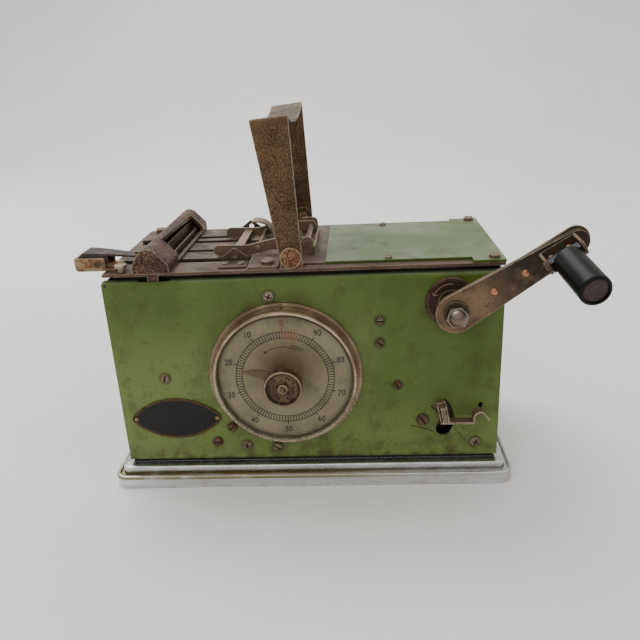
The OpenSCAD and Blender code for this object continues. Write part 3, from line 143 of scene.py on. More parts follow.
# %% Sums that every finish needs
def srgb(r, g, b):
    """A colour picked in 0 to 255, as linear light."""
    shares = [c / 255 for c in (r, g, b)]
    return tuple(c / 12.92 if c <= 0.04045 else ((c + 0.055) / 1.055) ** 2.4 for c in shares) + (1.0,)


class Recipe:
    """One material's node tree, with a short method for each kind of sum."""

    def __init__(self, name):
        self.material = bpy.data.materials.new(name)
        self.material.use_nodes = True
        self.tree = self.material.node_tree
        self.tree.nodes.clear()
        output = self.add("ShaderNodeOutputMaterial")
        self.shader = self.add("ShaderNodeBsdfPrincipled")
        self.tree.links.new(self.shader.outputs[0], output.inputs[0])
        self.place = self.add("ShaderNodeTexCoord").outputs["Object"]

    def add(self, kind, inputs=None, **settings):
        node = self.tree.nodes.new(kind)
        for key, value in settings.items():
            setattr(node, key, value)
        for key, value in (inputs or {}).items():
            self.feed(node.inputs[key], value)
        return node

    def feed(self, socket, value):
        if isinstance(value, bpy.types.NodeSocket):
            self.tree.links.new(value, socket)
        else:
            socket.default_value = value

    def ramp(self, value, low, high, to_low=0.0, to_high=1.0):
        return self.add("ShaderNodeMapRange", {"Value": value, "From Min": low, "From Max": high,
                        "To Min": to_low, "To Max": to_high}, interpolation_type="SMOOTHSTEP").outputs[0]

    def value(self, mask, low, high):
        return self.add("ShaderNodeMapRange", {"Value": mask, "To Min": low, "To Max": high}).outputs[0]

    def times(self, a, b):
        return self.add("ShaderNodeMath", {0: a, 1: b}, operation="MULTIPLY", use_clamp=True).outputs[0]

    def either(self, a, b):
        return self.add("ShaderNodeMath", {0: a, 1: b}, operation="MAXIMUM").outputs[0]

    def blend(self, mask, low, high):
        node = self.add("ShaderNodeMix", data_type="RGBA")
        self.feed(node.inputs[0], mask)
        self.feed(node.inputs[6], low)
        self.feed(node.inputs[7], high)
        return node.outputs[2]

    def size_of(self, value):
        return self.add("ShaderNodeMath", {0: value}, operation="ABSOLUTE").outputs[0]

    def done(self, **inputs):
        for key, value in inputs.items():
            self.feed(self.shader.inputs[key.replace("_", " ").title().replace("Ior", "IOR")], value)
        return self.material


print("recipe methods:", [name for name in vars(Recipe) if not name.startswith("_")])

# %% [markdown]
# ## Patterns of age
# Age shows as marks of many sizes. Soft noise makes clouds and grime, a cell pattern makes round
# specks, and two noises added and cut at a sharp level make ragged rust. A scratch is a straight
# line with a little noise to bend it, because a hand never slips perfectly straight.

# %% Patterns
class Patterns(Recipe):
    """Marks scattered over a piece by noise, each a mask from 0 to 1."""

    def stretch(self, scale, offset=(0, 0, 0)):
        """Object coordinates in metres, scaled unevenly for streaks and brush marks."""
        inputs = {"Vector": self.place, "Scale": scale, "Location": offset}
        return self.add("ShaderNodeMapping", inputs).outputs[0]

    def noise(self, scale, low=0.35, high=0.65, detail=5.0, rough=0.55, at=None, bend=0.0):
        """Soft blotches: scale is in blotches a metre."""
        inputs = {"Vector": at or self.place, "Scale": scale, "Detail": detail, "Roughness": rough,
                  "Distortion": bend}
        node = self.add("ShaderNodeTexNoise", inputs)
        return self.ramp(node.outputs["Fac"], low, high)

    def specks(self, scale, size, soft=0.08):
        """Small round specks, scattered: 1 in a speck, 0 between them."""
        node = self.add("ShaderNodeTexVoronoi", {"Vector": self.place, "Scale": scale})
        return self.ramp(node.outputs["Distance"], size, size + soft, 1.0, 0.0)

    def speckle(self, scale, cover, patchy=0.12, sharp=0.03):
        """Ragged rust speckle: cover is about the share it takes, patchy how much that drifts."""
        small = {"Vector": self.place, "Scale": scale, "Detail": 2.5, "Roughness": 0.6}
        large = {"Vector": self.place, "Scale": scale * 0.06, "Detail": 3.0}
        fine = self.add("ShaderNodeTexNoise", small).outputs["Fac"]
        broad = self.add("ShaderNodeTexNoise", large).outputs["Fac"]
        drift = self.value(broad, -patchy, patchy)
        level = self.add("ShaderNodeMath", {0: fine, 1: drift}, operation="ADD").outputs[0]
        noise_spread = 0.28
        line = 0.5 + (0.5 - cover) * noise_spread
        return self.ramp(level, line - sharp, line + sharp)

    def scratch(self, start, end, width):
        """1 along a slightly wavering scratch on the front, between two points (x, z)."""
        ax, az = start
        bx, bz = end
        length = math.hypot(bx - ax, bz - az)
        ux, uz = (bx - ax) / length, (bz - az) / length
        first, off_line = ax * ux + az * uz, az * ux - ax * uz
        last = first + length
        along = self.add("ShaderNodeVectorMath", {0: self.place, 1: (ux, 0, uz)}, operation="DOT_PRODUCT")
        across = self.add("ShaderNodeVectorMath", {0: self.place, 1: (-uz, 0, ux)}, operation="DOT_PRODUCT")
        wander = self.value(self.noise(180, 0.2, 0.8, detail=2), -width, width)
        off = self.add("ShaderNodeMath", {0: across.outputs["Value"], 1: off_line}, operation="SUBTRACT")
        bent = self.add("ShaderNodeMath", {0: off.outputs[0], 1: wander}, operation="ADD").outputs[0]
        near = self.ramp(self.size_of(bent), width * 0.4, width, 1.0, 0.0)
        begun = self.ramp(along.outputs["Value"], first, first + width * 2)
        going = self.ramp(along.outputs["Value"], last - width * 2, last, 1.0, 0.0)
        return self.times(near, self.times(begun, going))


print("pattern methods:", [name for name in vars(Patterns) if not name.startswith("_")])

# %% [markdown]
# ## Masks that follow the shape
# Wear needs to know the piece: its edges, which way a face looks, or how far a point lies from an
# axis. The edge mask compares the Bevel node's rounded normal with the face's own, which finds
# edges on any mesh without extra geometry.

# %% Masks from the shape
class Finish(Patterns):
    """Masks that follow the piece's own shape, and the bumps that catch light."""

    def edges(self, radius, low=0.02, high=0.12):
        """1 along edges sharper than the radius, in metres, 0 on open faces."""
        soft = self.add("ShaderNodeBevel", {"Radius": radius}, samples=6).outputs[0]
        plain = self.add("ShaderNodeNewGeometry").outputs["Normal"]
        same = self.add("ShaderNodeVectorMath", {0: soft, 1: plain}, operation="DOT_PRODUCT")
        return self.ramp(same.outputs["Value"], 1 - high, 1 - low, 1.0, 0.0)

    def round_edges(self, radius):
        return self.add("ShaderNodeBevel", {"Radius": radius}, samples=6).outputs[0]

    def bump(self, height, distance, strength=1.0, over=None):
        inputs = {"Height": height, "Distance": distance, "Strength": strength}
        if over is not None:
            inputs["Normal"] = over
        return self.add("ShaderNodeBump", inputs).outputs[0]

    def axis(self, name):
        return self.add("ShaderNodeSeparateXYZ", {0: self.place}).outputs[name]

    def facing(self, name):
        """How squarely a face looks along an axis: 1 square on, 0 edge on."""
        normal = self.add("ShaderNodeTexCoord").outputs["Normal"]
        part = self.add("ShaderNodeSeparateXYZ", {0: normal}).outputs[name]
        return self.add("ShaderNodeMath", {0: part}, operation="ABSOLUTE").outputs[0]

    def around(self, centre, inner, outer, flat=(1, 0, 1)):
        """1 within inner of a centre and 0 past outer, in metres, ignoring axes whose flat is 0."""
        moved = self.add("ShaderNodeVectorMath", {0: self.place, 1: centre}, operation="SUBTRACT").outputs[0]
        held = self.add("ShaderNodeVectorMath", {0: moved, 1: flat}, operation="MULTIPLY").outputs[0]
        far = self.add("ShaderNodeVectorMath", {0: held}, operation="LENGTH").outputs["Value"]
        return self.ramp(far, inner, outer, 1.0, 0.0)

    def beyond(self, centre, inner, outer):
        """0 within inner of an axis along Y and 1 past outer."""
        return self.value(self.around(centre, inner, outer), 1.0, 0.0)

    def band(self, centre, inner, outer, soft=0.0003):
        """1 in the ring between two radii round an axis along Y."""
        disc = self.around(centre, outer - soft, outer + soft)
        return self.times(disc, self.beyond(centre, inner - soft, inner + soft))


print("shape methods:", [name for name in vars(Finish) if not name.startswith("_")])

# %% [markdown]
# ## Green enamel
# The case is sprayed in a moss green that has mellowed to olive in patches. Years of oily hands
# left brown blotches, more of them round the crank and the dial, and small chips show dark
# steel. Noises of different sizes carry this, and the grime masks are centred on the pieces that
# shed it. The dial's and the crank's places are asked of the frame, so they follow the CAD model.

# %% Places on the front
def middle_of(node):
    low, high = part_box(node)
    return [(a + b) / 2 for a, b in zip(low, high)]


panel_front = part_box("front_panel")[0][1]
dial_centre = (middle_of("dial_face")[0], panel_front, middle_of("dial_face")[2])
crank_centre = (middle_of("crank_nut")[0], panel_front, middle_of("crank_nut")[2])
slot_centre = (0.0945, panel_front, 0.0410)
PANEL_SCREWS = [(x * MM, z * MM) for x, z in (
    (114.9, 28.1), (-44.3, 28.3), (-21.1, 138.8), (50.5, 119.8), (50.2, 104.1), (61.6, 72.9),
    (-96.4, 81.6), (-53.6, 43.0), (-64.9, 31.5), (-23.0, 26.6), (78.6, 46.2))]
print("front panel at y =", round(panel_front / MM, 2), "mm, with", len(PANEL_SCREWS), "screws")

# %% Shades and marks of the enamel
def enamel_tone(f, clouds):
    """The green: paler low down and on the left, deeper above, and painted darker on the right as shade;
    faces that look up are painted paler and greyer, as the light from above.
    """
    drift = f.noise(6, 0.35, 0.7, detail=2)
    height, width = f.axis("Z"), f.axis("X")
    # painted shade: the green deepens on the right side, away from the window
    right = f.times(f.ramp(width, 0.022, 0.060), f.ramp(height, 0.030, 0.075))
    shade = f.either(f.times(f.ramp(height, 0.070, 0.140), 0.8), right)
    pale = f.blend(f.times(drift, 0.5), srgb(103, 118, 57), srgb(92, 111, 47))
    deep = f.blend(f.times(clouds, 0.8), srgb(72, 93, 18), srgb(58, 77, 5))
    tone = f.blend(f.times(shade, f.value(drift, 1.0, 0.72)), pale, deep)
    # painted light: faces that look up take a paler, greyer green, as the light and sky falling on top
    painted_top_light = f.ramp(f.facing("Z"), 0.7, 0.9)
    return f.blend(painted_top_light, tone, f.blend(clouds, srgb(101, 115, 78), srgb(92, 107, 68)))


def handled_places(f):
    """Round the dial, the crank and the selector's slot, where oily hands have been."""
    turned = f.either(f.around(dial_centre, 0.050, 0.066), f.around(crank_centre, 0.012, 0.034))
    return f.either(turned, f.around(slot_centre, 0.010, 0.032))


def screw_halos(f):
    """A dark ring round the foot of each screw head on the front: painted shade, with dirt."""
    ring = 0.0
    for x, z in PANEL_SCREWS:
        ring = f.either(ring, f.around((x, 0, z), 0.0036, 0.0056))
    return ring


def front_marks(f):
    """Two scratches beside the selector's slot and a pinhole at the upper left corner."""
    left_cut = f.scratch((0.0700, 0.0416), (0.0872, 0.0365), 0.00060)
    right_cut = f.scratch((0.1002, 0.0381), (0.1152, 0.0207), 0.00045)
    pinhole = f.around((-0.1277, 0, 0.1490), 0.0009, 0.0012)
    return f.either(f.either(left_cut, f.times(right_cut, 0.7)), pinhole)


print("dial axis and crank axis at", [[round(c / MM, 1) for c in p] for p in (dial_centre, crank_centre)])

# %% Green enamel
def green_enamel():
    f = Finish("green_enamel")
    clouds = f.noise(16, 0.36, 0.68, detail=4, bend=0.4)
    tone = enamel_tone(f, clouds)
    front = f.ramp(f.axis("Y"), panel_front + 0.003, panel_front + 0.011, 1.0, 0.0)
    blotches = f.noise(110, 0.54, 0.66, detail=8, rough=0.7)
    stains = f.noise(1.0, 0.53, 0.70, detail=6, rough=0.6, at=f.stretch((48, 48, 30), (3.1, 0, 1.7)))
    handled = f.times(f.times(handled_places(f), front), f.noise(60, 0.40, 0.7, detail=7))
    grime = f.either(f.times(handled, 0.75), f.either(f.times(blotches, 0.42), f.times(stains, 0.5)))
    dirty = f.blend(grime, tone, srgb(60, 58, 10))
    flecks = f.times(f.speckle(520, 0.04, 0.10, 0.02), f.noise(18, 0.35, 0.6))
    dirty = f.blend(f.times(flecks, 0.4), dirty, srgb(44, 50, 12))
    # painted shade with dirt: dark rings round the foot of the screw heads
    dirt_and_shade_rings = f.times(f.times(screw_halos(f), front), f.value(blotches, 0.35, 0.75))
    dirty = f.blend(dirt_and_shade_rings, dirty, srgb(38, 36, 14))
    low = f.ramp(f.axis("Z"), 0.016, 0.034, 1.0, 0.0)
    dirty = f.blend(f.times(low, f.noise(120, 0.40, 0.65, detail=6)), dirty, srgb(70, 66, 30))
    chips = f.times(f.specks(420, 0.045, 0.05), f.noise(22, 0.5, 0.62))
    worn = f.times(f.edges(0.0012, 0.03, 0.16), f.noise(300, 0.42, 0.62, detail=6))
    smudge_place = f.around((0.0330, -0.0180, 0.157), 0.002, 0.009, (1, 0.8, 0))
    smudge = f.times(smudge_place, f.noise(300, 0.35, 0.6))
    marks = f.either(f.times(front_marks(f), front), f.times(smudge, 0.5))
    bare = f.either(f.either(chips, f.times(worn, 0.85)), marks)
    colour = f.blend(bare, dirty, srgb(46, 36, 24))
    waves = f.bump(f.noise(28, 0.2, 0.8, detail=2), 0.0004, 0.25, f.round_edges(0.0004))
    normal = f.bump(f.noise(900, 0.3, 0.7, detail=2), 0.00005, 0.25, waves)
    return f.done(base_color=colour, roughness=f.value(f.either(grime, clouds), 0.34, 0.56),
                  normal=normal, specular_ior_level=0.35)


enamel_green = green_enamel()
print("enamel:", len(enamel_green.node_tree.nodes), "nodes")

# %% [markdown]
# ## Plated base
# The base is a plated moulding. Its groove is stained yellow, where polish never reached, and
# the narrow seat under the case is painted near black, as the shadow in the gap under the case. Both
# are bands of height, so ramps on Z place them exactly on the moulding's own steps.

# %% Plated base
def dull_plating():
    f = Finish("dull_plating")
    height = f.axis("Z")
    groove = f.times(f.ramp(height, 0.0066, 0.0074), f.ramp(height, 0.0088, 0.0098, 1.0, 0.0))
    # painted shadow: the seat under the case is made near black, matt and not metallic, in place of the
    # shadow in the gap
    seat_shadow = f.ramp(height, 0.01452, 0.01462)
    streaks = f.noise(1.0, 0.38, 0.66, detail=7, rough=0.65, at=f.stretch((60, 60, 500)))
    stain = f.noise(70, 0.45, 0.75, detail=6)
    colour = f.blend(f.times(streaks, 0.45), srgb(214, 215, 217), srgb(182, 180, 174))
    colour = f.blend(f.times(stain, 0.35), colour, srgb(160, 146, 116))
    leftward = f.times(groove, f.ramp(f.axis("X"), -0.02, 0.11, 1.0, 0.25))
    colour = f.blend(f.times(leftward, f.noise(60, 0.12, 0.5)), colour, srgb(142, 130, 94))
    spots = f.times(f.speckle(900, 0.10), f.noise(30, 0.35, 0.7))
    colour = f.blend(f.times(spots, 0.45), colour, srgb(104, 96, 80))
    pits = f.times(f.specks(900, 0.10, 0.08), f.noise(60, 0.52, 0.62))
    colour = f.blend(f.times(pits, 0.8), colour, srgb(70, 56, 40))
    # painted shadow on the seat under the case
    colour = f.blend(seat_shadow, colour, srgb(12, 11, 7))
    dull = f.value(f.either(streaks, f.times(groove, 0.9)), 0.13, 0.36)
    rough = f.either(dull, f.either(f.times(pits, 0.7), f.times(seat_shadow, 0.9)))
    normal = f.bump(f.noise(500, 0.3, 0.7, detail=3), 0.00004, 0.3, f.round_edges(0.0003))
    return f.done(base_color=colour, metallic=f.value(seat_shadow, 0.95, 0.0), roughness=rough, normal=normal)


plating = dull_plating()
print("plating:", len(plating.node_tree.nodes), "nodes")

# %% [markdown]
# ## Browned and speckled steel
# Most small pieces are browned steel: a base tone, round pits and bare metal on rubbed edges. The
# press head, the handle and its pivots are rougher, with a dense ragged speckle where rust broke
# through. Two recipes cover them all, and a table of colours and sizes makes each finish.

# %% Two recipes for old steel
PIT_DEPTH, SPECKLE_DEPTH = 0.00012, 0.00016


def browned_steel(name, base, dark, bare, pit_scale, pit_size, pitting, rough, bare_edges, metallic):
    """Old steel: a base tone, dark rust pits, and bare metal where it is rubbed."""
    f = Finish(name)
    clouds = f.noise(45, 0.35, 0.68, detail=6, rough=0.6)
    shaded = tuple(c * 0.62 for c in srgb(*base)[:3]) + (1.0,)
    tone = f.blend(clouds, srgb(*base), shaded)
    pitted = f.noise(pit_scale * 0.22, 0.52 - pitting * 0.3, 0.62 - pitting * 0.2)
    pits = f.times(f.specks(pit_scale, pit_size, 0.16), pitted)
    grain = f.noise(pit_scale * 1.6, 0.40, 0.62, detail=5, rough=0.7)
    marked = f.either(f.times(pits, 0.9), f.times(grain, 0.35 * pitting + 0.1))
    colour = f.blend(marked, tone, srgb(*dark))
    rubbed = f.times(f.edges(0.0009, 0.02, 0.14), f.noise(260, 0.30, 0.55, detail=5))
    colour = f.blend(f.times(rubbed, bare_edges), colour, srgb(*bare))
    grained = f.bump(grain, PIT_DEPTH * 0.6, 0.5, f.round_edges(0.00045))
    sunk = f.bump(pits, PIT_DEPTH, 0.8, grained)
    sunk.node.invert = True
    worn_rough = f.value(f.either(pits, clouds), rough, min(rough + 0.3, 0.9))
    return f.done(base_color=colour, metallic=metallic, roughness=worn_rough, normal=sunk)


def speckled_steel(name, base, shade, rust, bare, scale, cover, rough, metallic, bare_edges, streaked):
    """Steel whose plating has broken into a dense ragged rust speckle, bare along its edges."""
    f = Finish(name)
    clouds = f.noise(38, 0.35, 0.68, detail=5)
    tone = f.blend(clouds, srgb(*base), srgb(*shade))
    rust_specks = f.speckle(scale, cover)
    if streaked:
        runs = f.noise(1.0, 0.50, 0.62, detail=4, at=f.stretch((700, 700, 60)))
        rust_specks = f.either(rust_specks, f.times(runs, streaked))
    colour = f.blend(f.times(rust_specks, 0.88), tone, srgb(*rust))
    rubbed = f.times(f.edges(0.0010, 0.02, 0.14), f.noise(260, 0.26, 0.50, detail=5))
    colour = f.blend(f.times(rubbed, bare_edges), colour, srgb(*bare))
    sunk = f.bump(rust_specks, SPECKLE_DEPTH, 0.8, f.round_edges(0.00045))
    sunk.node.invert = True
    return f.done(base_color=colour, metallic=metallic, roughness=f.value(rust_specks, rough, rough + 0.3),
                  normal=sunk)


print("steel recipes:", browned_steel.__name__, "and", speckled_steel.__name__)

# %% Steels of each piece
BROWNED = (
    # name, base, pits, rubbed edges, pits a metre, their size, pitting, roughness, edge wear, metallic
    ("bed_brown", (100, 80, 62), (44, 32, 24), (160, 142, 118), 700, 0.10, 0.55, 0.38, 0.75, 0.5),
    ("oiled_brown", (84, 64, 46), (34, 26, 19), (158, 134, 102), 500, 0.10, 0.5, 0.36, 0.8, 0.4),
    ("dark_pointer", (104, 84, 54), (76, 60, 38), (116, 98, 68), 500, 0.10, 0.2, 0.6, 0.2, 0.0),
    ("disc_brown", (66, 40, 22), (26, 15, 8), (170, 146, 112), 600, 0.12, 0.5, 0.40, 0.9, 0.35),
    ("yoke_steel", (142, 120, 96), (74, 52, 38), (212, 198, 176), 800, 0.12, 0.35, 0.38, 0.9, 0.55),
    ("bright_steel", (132, 112, 90), (70, 50, 36), (192, 178, 154), 800, 0.10, 0.3, 0.32, 0.8, 0.7),
    ("pale_plated", (168, 154, 126), (100, 80, 56), (206, 194, 168), 800, 0.08, 0.1, 0.30, 0.5, 0.7),
    ("polished_nut", (128, 114, 98), (66, 52, 40), (200, 190, 176), 900, 0.10, 0.2, 0.16, 0.5, 0.95),
    ("copper_rivet", (190, 140, 104), (110, 70, 48), (236, 204, 168), 900, 0.06, 0.3, 0.20, 0.6, 0.9),
    ("rivet_bronze", (146, 122, 92), (84, 62, 42), (196, 174, 138), 900, 0.06, 0.2, 0.26, 0.6, 0.85),
    ("brass_old", (160, 132, 76), (96, 74, 40), (196, 170, 110), 800, 0.08, 0.2, 0.3, 0.7, 0.9),
    ("inner_plain", (74, 68, 60), (44, 38, 30), (120, 112, 100), 500, 0.06, 0.1, 0.35, 0.5, 0.9),
    ("plum_paint", (62, 42, 37), (34, 22, 18), (130, 106, 88), 600, 0.10, 0.3, 0.42, 0.7, 0.1),
)
SPECKLED = (
    # name, base, shade, rust, rubbed edges,
    # specks a metre, their cover, roughness, metallic, edge wear, streaks
    ("handle_bronze", (118, 92, 62), (92, 70, 46), (48, 31, 20), (196, 182, 156),
     1500, 0.42, 0.42, 0.55, 0.8, 0.1),
    ("head_bronze", (118, 92, 72), (84, 60, 50), (52, 25, 18), (196, 182, 156),
     1250, 0.48, 0.42, 0.55, 0.8, 0.0),
    ("rust_face", (150, 112, 78), (120, 80, 56), (84, 44, 26), (206, 188, 158),
     900, 0.55, 0.5, 0.35, 1.0, 0.0),
)
steel = {row[0]: browned_steel(*row) for row in BROWNED}
steel.update({row[0]: speckled_steel(*row) for row in SPECKLED})
print("steels:", ", ".join(sorted(steel)))

# %% [markdown]
# ## Knob and dial rim
# Both are turned pieces that wear in circles: fingers polish the knob's rim and the small ring in
# its dish, and the dial's rim shines only along its crest. So their light and dark zones are
# bands of distance from the dial's axis, broken up by noise.

# %% Knob and dial rim
def turned_knob():
    """The setting knob: a bright worn rim round a brown dished face with a small raised ring."""
    f = Finish("turned_knob")
    face = f.blend(f.noise(130, 0.35, 0.65, detail=6), srgb(100, 82, 56), srgb(66, 50, 31))
    spots = f.times(f.speckle(330, 0.30, 0.05), 0.85)
    face = f.blend(spots, face, srgb(44, 31, 18))
    rim = f.band(dial_centre, 0.0117, 0.0124)
    shadow = f.band(dial_centre, 0.0098, 0.0109)
    boss = f.band(dial_centre, 0.0024, 0.0031)
    worn = f.noise(150, 0.25, 0.6, detail=4)
    colour = f.blend(f.times(shadow, 0.75), face, srgb(40, 28, 16))
    colour = f.blend(f.times(f.either(rim, boss), f.value(worn, 0.55, 1.0)), colour, srgb(158, 140, 108))
    return f.done(base_color=colour, metallic=0.55, roughness=f.value(f.either(spots, worn), 0.30, 0.55),
                  normal=f.bump(spots, 0.0001, 0.5, f.round_edges(0.0004)))


def dial_rim_bronze():
    """The dial's rim: a brown flange, a bright crest and a coarse speckle low down."""
    f = Finish("dial_rim_bronze")
    flange = f.beyond(dial_centre, 0.0476, 0.0484)
    crest = f.times(f.around(dial_centre, 0.0474, 0.0482), f.beyond(dial_centre, 0.0462, 0.0468))
    clouds = f.noise(60, 0.35, 0.65, detail=5)
    brown = f.blend(clouds, srgb(148, 126, 98), srgb(112, 90, 66))
    bright = f.blend(clouds, srgb(196, 180, 152), srgb(138, 120, 92))
    colour = f.blend(flange, f.blend(crest, srgb(104, 84, 62), bright), brown)
    height, middle = f.axis("Z"), dial_centre[2]
    lower = f.ramp(height, middle - 0.030, middle + 0.030, 1.0, 0.25)
    pale = f.ramp(height, middle - 0.040, middle + 0.010, 1.0, 0.0)
    colour = f.blend(f.times(pale, 0.6), colour, srgb(168, 154, 128))
    specks = f.times(f.speckle(950, 0.38), lower)
    colour = f.blend(f.times(specks, 0.65), colour, srgb(52, 38, 26))
    return f.done(base_color=colour, metallic=0.5, roughness=f.value(specks, 0.30, 0.6),
                  normal=f.bump(specks, 0.00012, 0.6, f.round_edges(0.0004)))


knob_bronze, rim_bronze = turned_knob(), dial_rim_bronze()
print("turned finishes:", knob_bronze.name, rim_bronze.name)

# %% [markdown]
# ## Stop and crank arm
# The stop's thin sheet has orange rust over its face, and the crank arm is rubbed near its nut
# and black with oil towards the grip. The arm's oil grows with distance from the crank's axis,
# because that is where the hand passes.

# %% Stop and crank arm
def rusty_stop():
    """The stop's bent sheet: yellowish steel with orange rust spreading over its face."""
    f = Finish("rusty_stop")
    rust = f.noise(150, 0.42, 0.60, detail=7, rough=0.65)
    colour = f.blend(rust, srgb(150, 128, 92), srgb(118, 66, 34))
    colour = f.blend(f.times(f.speckle(800, 0.25), 0.7), colour, srgb(62, 36, 22))
    colour = f.blend(f.times(f.edges(0.0009, 0.02, 0.14), 0.8), colour, srgb(190, 172, 138))
    return f.done(base_color=colour, metallic=0.35, roughness=f.value(rust, 0.42, 0.7),
                  normal=f.round_edges(0.0004))


def crank_bronze():
    """The crank arm: bronzed steel, plain near its nut and dark with oil towards the grip."""
    f = Finish("crank_bronze")
    clouds = f.noise(50, 0.35, 0.68, detail=6)
    tone = f.blend(clouds, srgb(120, 95, 69), srgb(86, 66, 47))
    oil = f.times(f.beyond(crank_centre, 0.010, 0.050), f.noise(90, 0.22, 0.50, detail=7))
    colour = f.blend(f.times(oil, 0.95), tone, srgb(38, 27, 20))
    specks = f.speckle(700, 0.12)
    colour = f.blend(f.times(specks, 0.6), colour, srgb(48, 32, 22))
    rubbed = f.times(f.edges(0.0010, 0.02, 0.14), f.noise(260, 0.24, 0.5, detail=5))
    colour = f.blend(f.times(rubbed, 0.8), colour, srgb(190, 166, 128))
    return f.done(base_color=colour, metallic=0.5, roughness=f.value(f.either(oil, specks), 0.34, 0.55),
                  normal=f.bump(specks, 0.00006, 0.5, f.round_edges(0.0005)))


stop_rust, arm_bronze = rusty_stop(), crank_bronze()
print("handled finishes:", stop_rust.name, arm_bronze.name)

# %% [markdown]
# ## Panel screws
# The heads are grey or brown, and their slots and crosses are painted black, as the shade that falls in
# them together with old paint and dirt. The walls of a slot face sideways and its floor lies deeper
# than the head, so a mask from depth and from the face's direction finds both without any drawing.

# %% Panel screws
def panel_screw(name, floor, base, other):
    """A panel screw's head in two mixed tones, its slot or cross dark down to a floor at a depth."""
    f = Finish(name)
    depth = f.size_of(f.axis("Y"))
    outside = abs(panel_front) + 0.0008
    on_head = f.ramp(depth, outside, outside + 0.0001)
    walls = f.times(f.ramp(f.facing("Y"), 0.05, 0.20, 1.0, 0.0), on_head)
    sunk = f.times(on_head, f.ramp(depth, floor + 0.0001, floor + 0.0003, 1.0, 0.0))
    bottom = f.times(f.ramp(f.facing("Y"), 0.90, 0.97), sunk)
    brink = f.times(f.edges(0.0004, 0.05, 0.2), f.ramp(depth, floor + 0.0006, floor + 0.0009))
    # painted shade with dirt: slot walls, floor and brink go near black
    slot_shade_and_dirt = f.either(f.either(walls, bottom), brink)
    blotch = f.noise(500, 0.4, 0.65, detail=5)
    which = f.noise(26, 0.44, 0.56, detail=1)
    colour = f.blend(f.times(which, 0.8), srgb(*base), srgb(*other))
    colour = f.blend(f.times(blotch, 0.5), colour, srgb(70, 48, 36))
    colour = f.blend(slot_shade_and_dirt, colour, srgb(12, 9, 7))
    return f.done(base_color=colour, metallic=f.value(slot_shade_and_dirt, 0.6, 0.0),
                  roughness=f.value(f.either(slot_shade_and_dirt, blotch), 0.34, 0.75), normal=f.round_edges(0.0003))


panel_depth = abs(panel_front)
cross_screw = panel_screw("cross_screw", panel_depth + 0.0010, (150, 136, 112), (130, 114, 92))
slot_screw = panel_screw("slot_screw", panel_depth + 0.0013, (126, 114, 86), (92, 58, 48))
print("screw finishes:", cross_screw.name, slot_screw.name)

# %% [markdown]
# ## Black, enamel and glass
# The grip is black moulded resin with a soft satin shine, and its end plug is a dark red-brown. The
# dial is printed on cream enamel that has yellowed towards the middle, under a dusty glass.

# %% Grip, plug and nameplate
def black_grip():
    f = Finish("black_grip")
    dust = f.noise(160, 0.52, 0.8, detail=7)
    scuffs = f.noise(1.0, 0.56, 0.72, detail=6, at=f.stretch((900, 90, 900)))
    colour = f.blend(f.times(dust, 0.30), srgb(7, 6, 6), srgb(28, 26, 23))
    colour = f.blend(f.times(scuffs, 0.25), colour, srgb(50, 46, 42))
    return f.done(base_color=colour, roughness=f.value(dust, 0.38, 0.55), normal=f.round_edges(0.0004),
                  specular_ior_level=0.18)


def red_brown_plug():
    f = Finish("red_brown_plug")
    fibre = f.noise(420, 0.35, 0.65, detail=6)
    return f.done(base_color=f.blend(fibre, srgb(58, 30, 24), srgb(36, 20, 17)), roughness=0.55,
                  normal=f.bump(fibre, 0.0001, 0.4))


def plate_black():
    f = Finish("plate_black")
    dust = f.noise(130, 0.45, 0.75, detail=7)
    brass = f.times(f.edges(0.0011, 0.02, 0.10), f.noise(240, 0.28, 0.5, detail=4))
    colour = f.blend(f.times(dust, 0.30), srgb(12, 11, 12), srgb(46, 42, 34))
    colour = f.blend(f.times(brass, 0.8), colour, srgb(140, 106, 66))
    return f.done(base_color=colour, roughness=f.value(dust, 0.36, 0.6), metallic=f.times(brass, 0.7),
                  normal=f.round_edges(0.0003), specular_ior_level=0.28)


grip_black, plug_brown, plate_enamel = black_grip(), red_brown_plug(), plate_black()
print("dark finishes:", grip_black.name, plug_brown.name, plate_enamel.name)

# %% Dial, glass and ink
def dial_cream():
    f = Finish("dial_cream")
    old = f.noise(34, 0.35, 0.7, detail=5)
    colour = f.blend(f.times(old, 0.4), srgb(140, 128, 98), srgb(120, 107, 74))
    stain_centre = (dial_centre[0] + 0.002, dial_centre[1], dial_centre[2] + 0.008)
    middle = f.around(stain_centre, 0.008, 0.034)
    colour = f.blend(f.times(middle, 0.72), colour, srgb(92, 72, 36))
    # painted shade with grime: the face darkens towards its edge, under the bezel
    rim = f.around(dial_centre, 0.0415, 0.0465)
    colour = f.blend(f.value(f.times(rim, f.noise(60, 0.2, 0.6)), 0.62, 0.0), colour, srgb(64, 54, 38))
    spots = f.times(f.specks(260, 0.05, 0.08), f.noise(40, 0.55, 0.66))
    colour = f.blend(f.times(spots, 0.6), colour, srgb(84, 70, 46))
    return f.done(base_color=colour, roughness=f.value(old, 0.42, 0.6))


def dusty_glass():
    f = Finish("dusty_glass")
    dust = f.noise(120, 0.4, 0.8, detail=8, rough=0.7)
    f.material.surface_render_method = "BLENDED"
    film = f.blend(dust, srgb(110, 106, 92), srgb(140, 134, 116))
    return f.done(base_color=film, alpha=f.value(dust, 0.03, 0.055), roughness=f.value(dust, 0.14, 0.3),
                  specular_ior_level=0.25)


def ink(name, colour):
    f = Finish(name)
    worn = f.noise(700, 0.35, 0.7, detail=4)
    return f.done(base_color=f.blend(f.times(worn, 0.2), srgb(*colour), srgb(96, 86, 62)), roughness=0.6)


dial_enamel, glass_dust = dial_cream(), dusty_glass()
ink_dark, ink_red = ink("ink_dark", (22, 20, 14)), ink("ink_red", (128, 34, 24))
print("dial finishes:", dial_enamel.name, glass_dust.name, ink_dark.name, ink_red.name)

# %% [markdown]
# ## Paper
# The ground is matt pale paper with the faintest clouds and ribs, so the render's floor isn't a
# single flat value and contact shadows read softly.

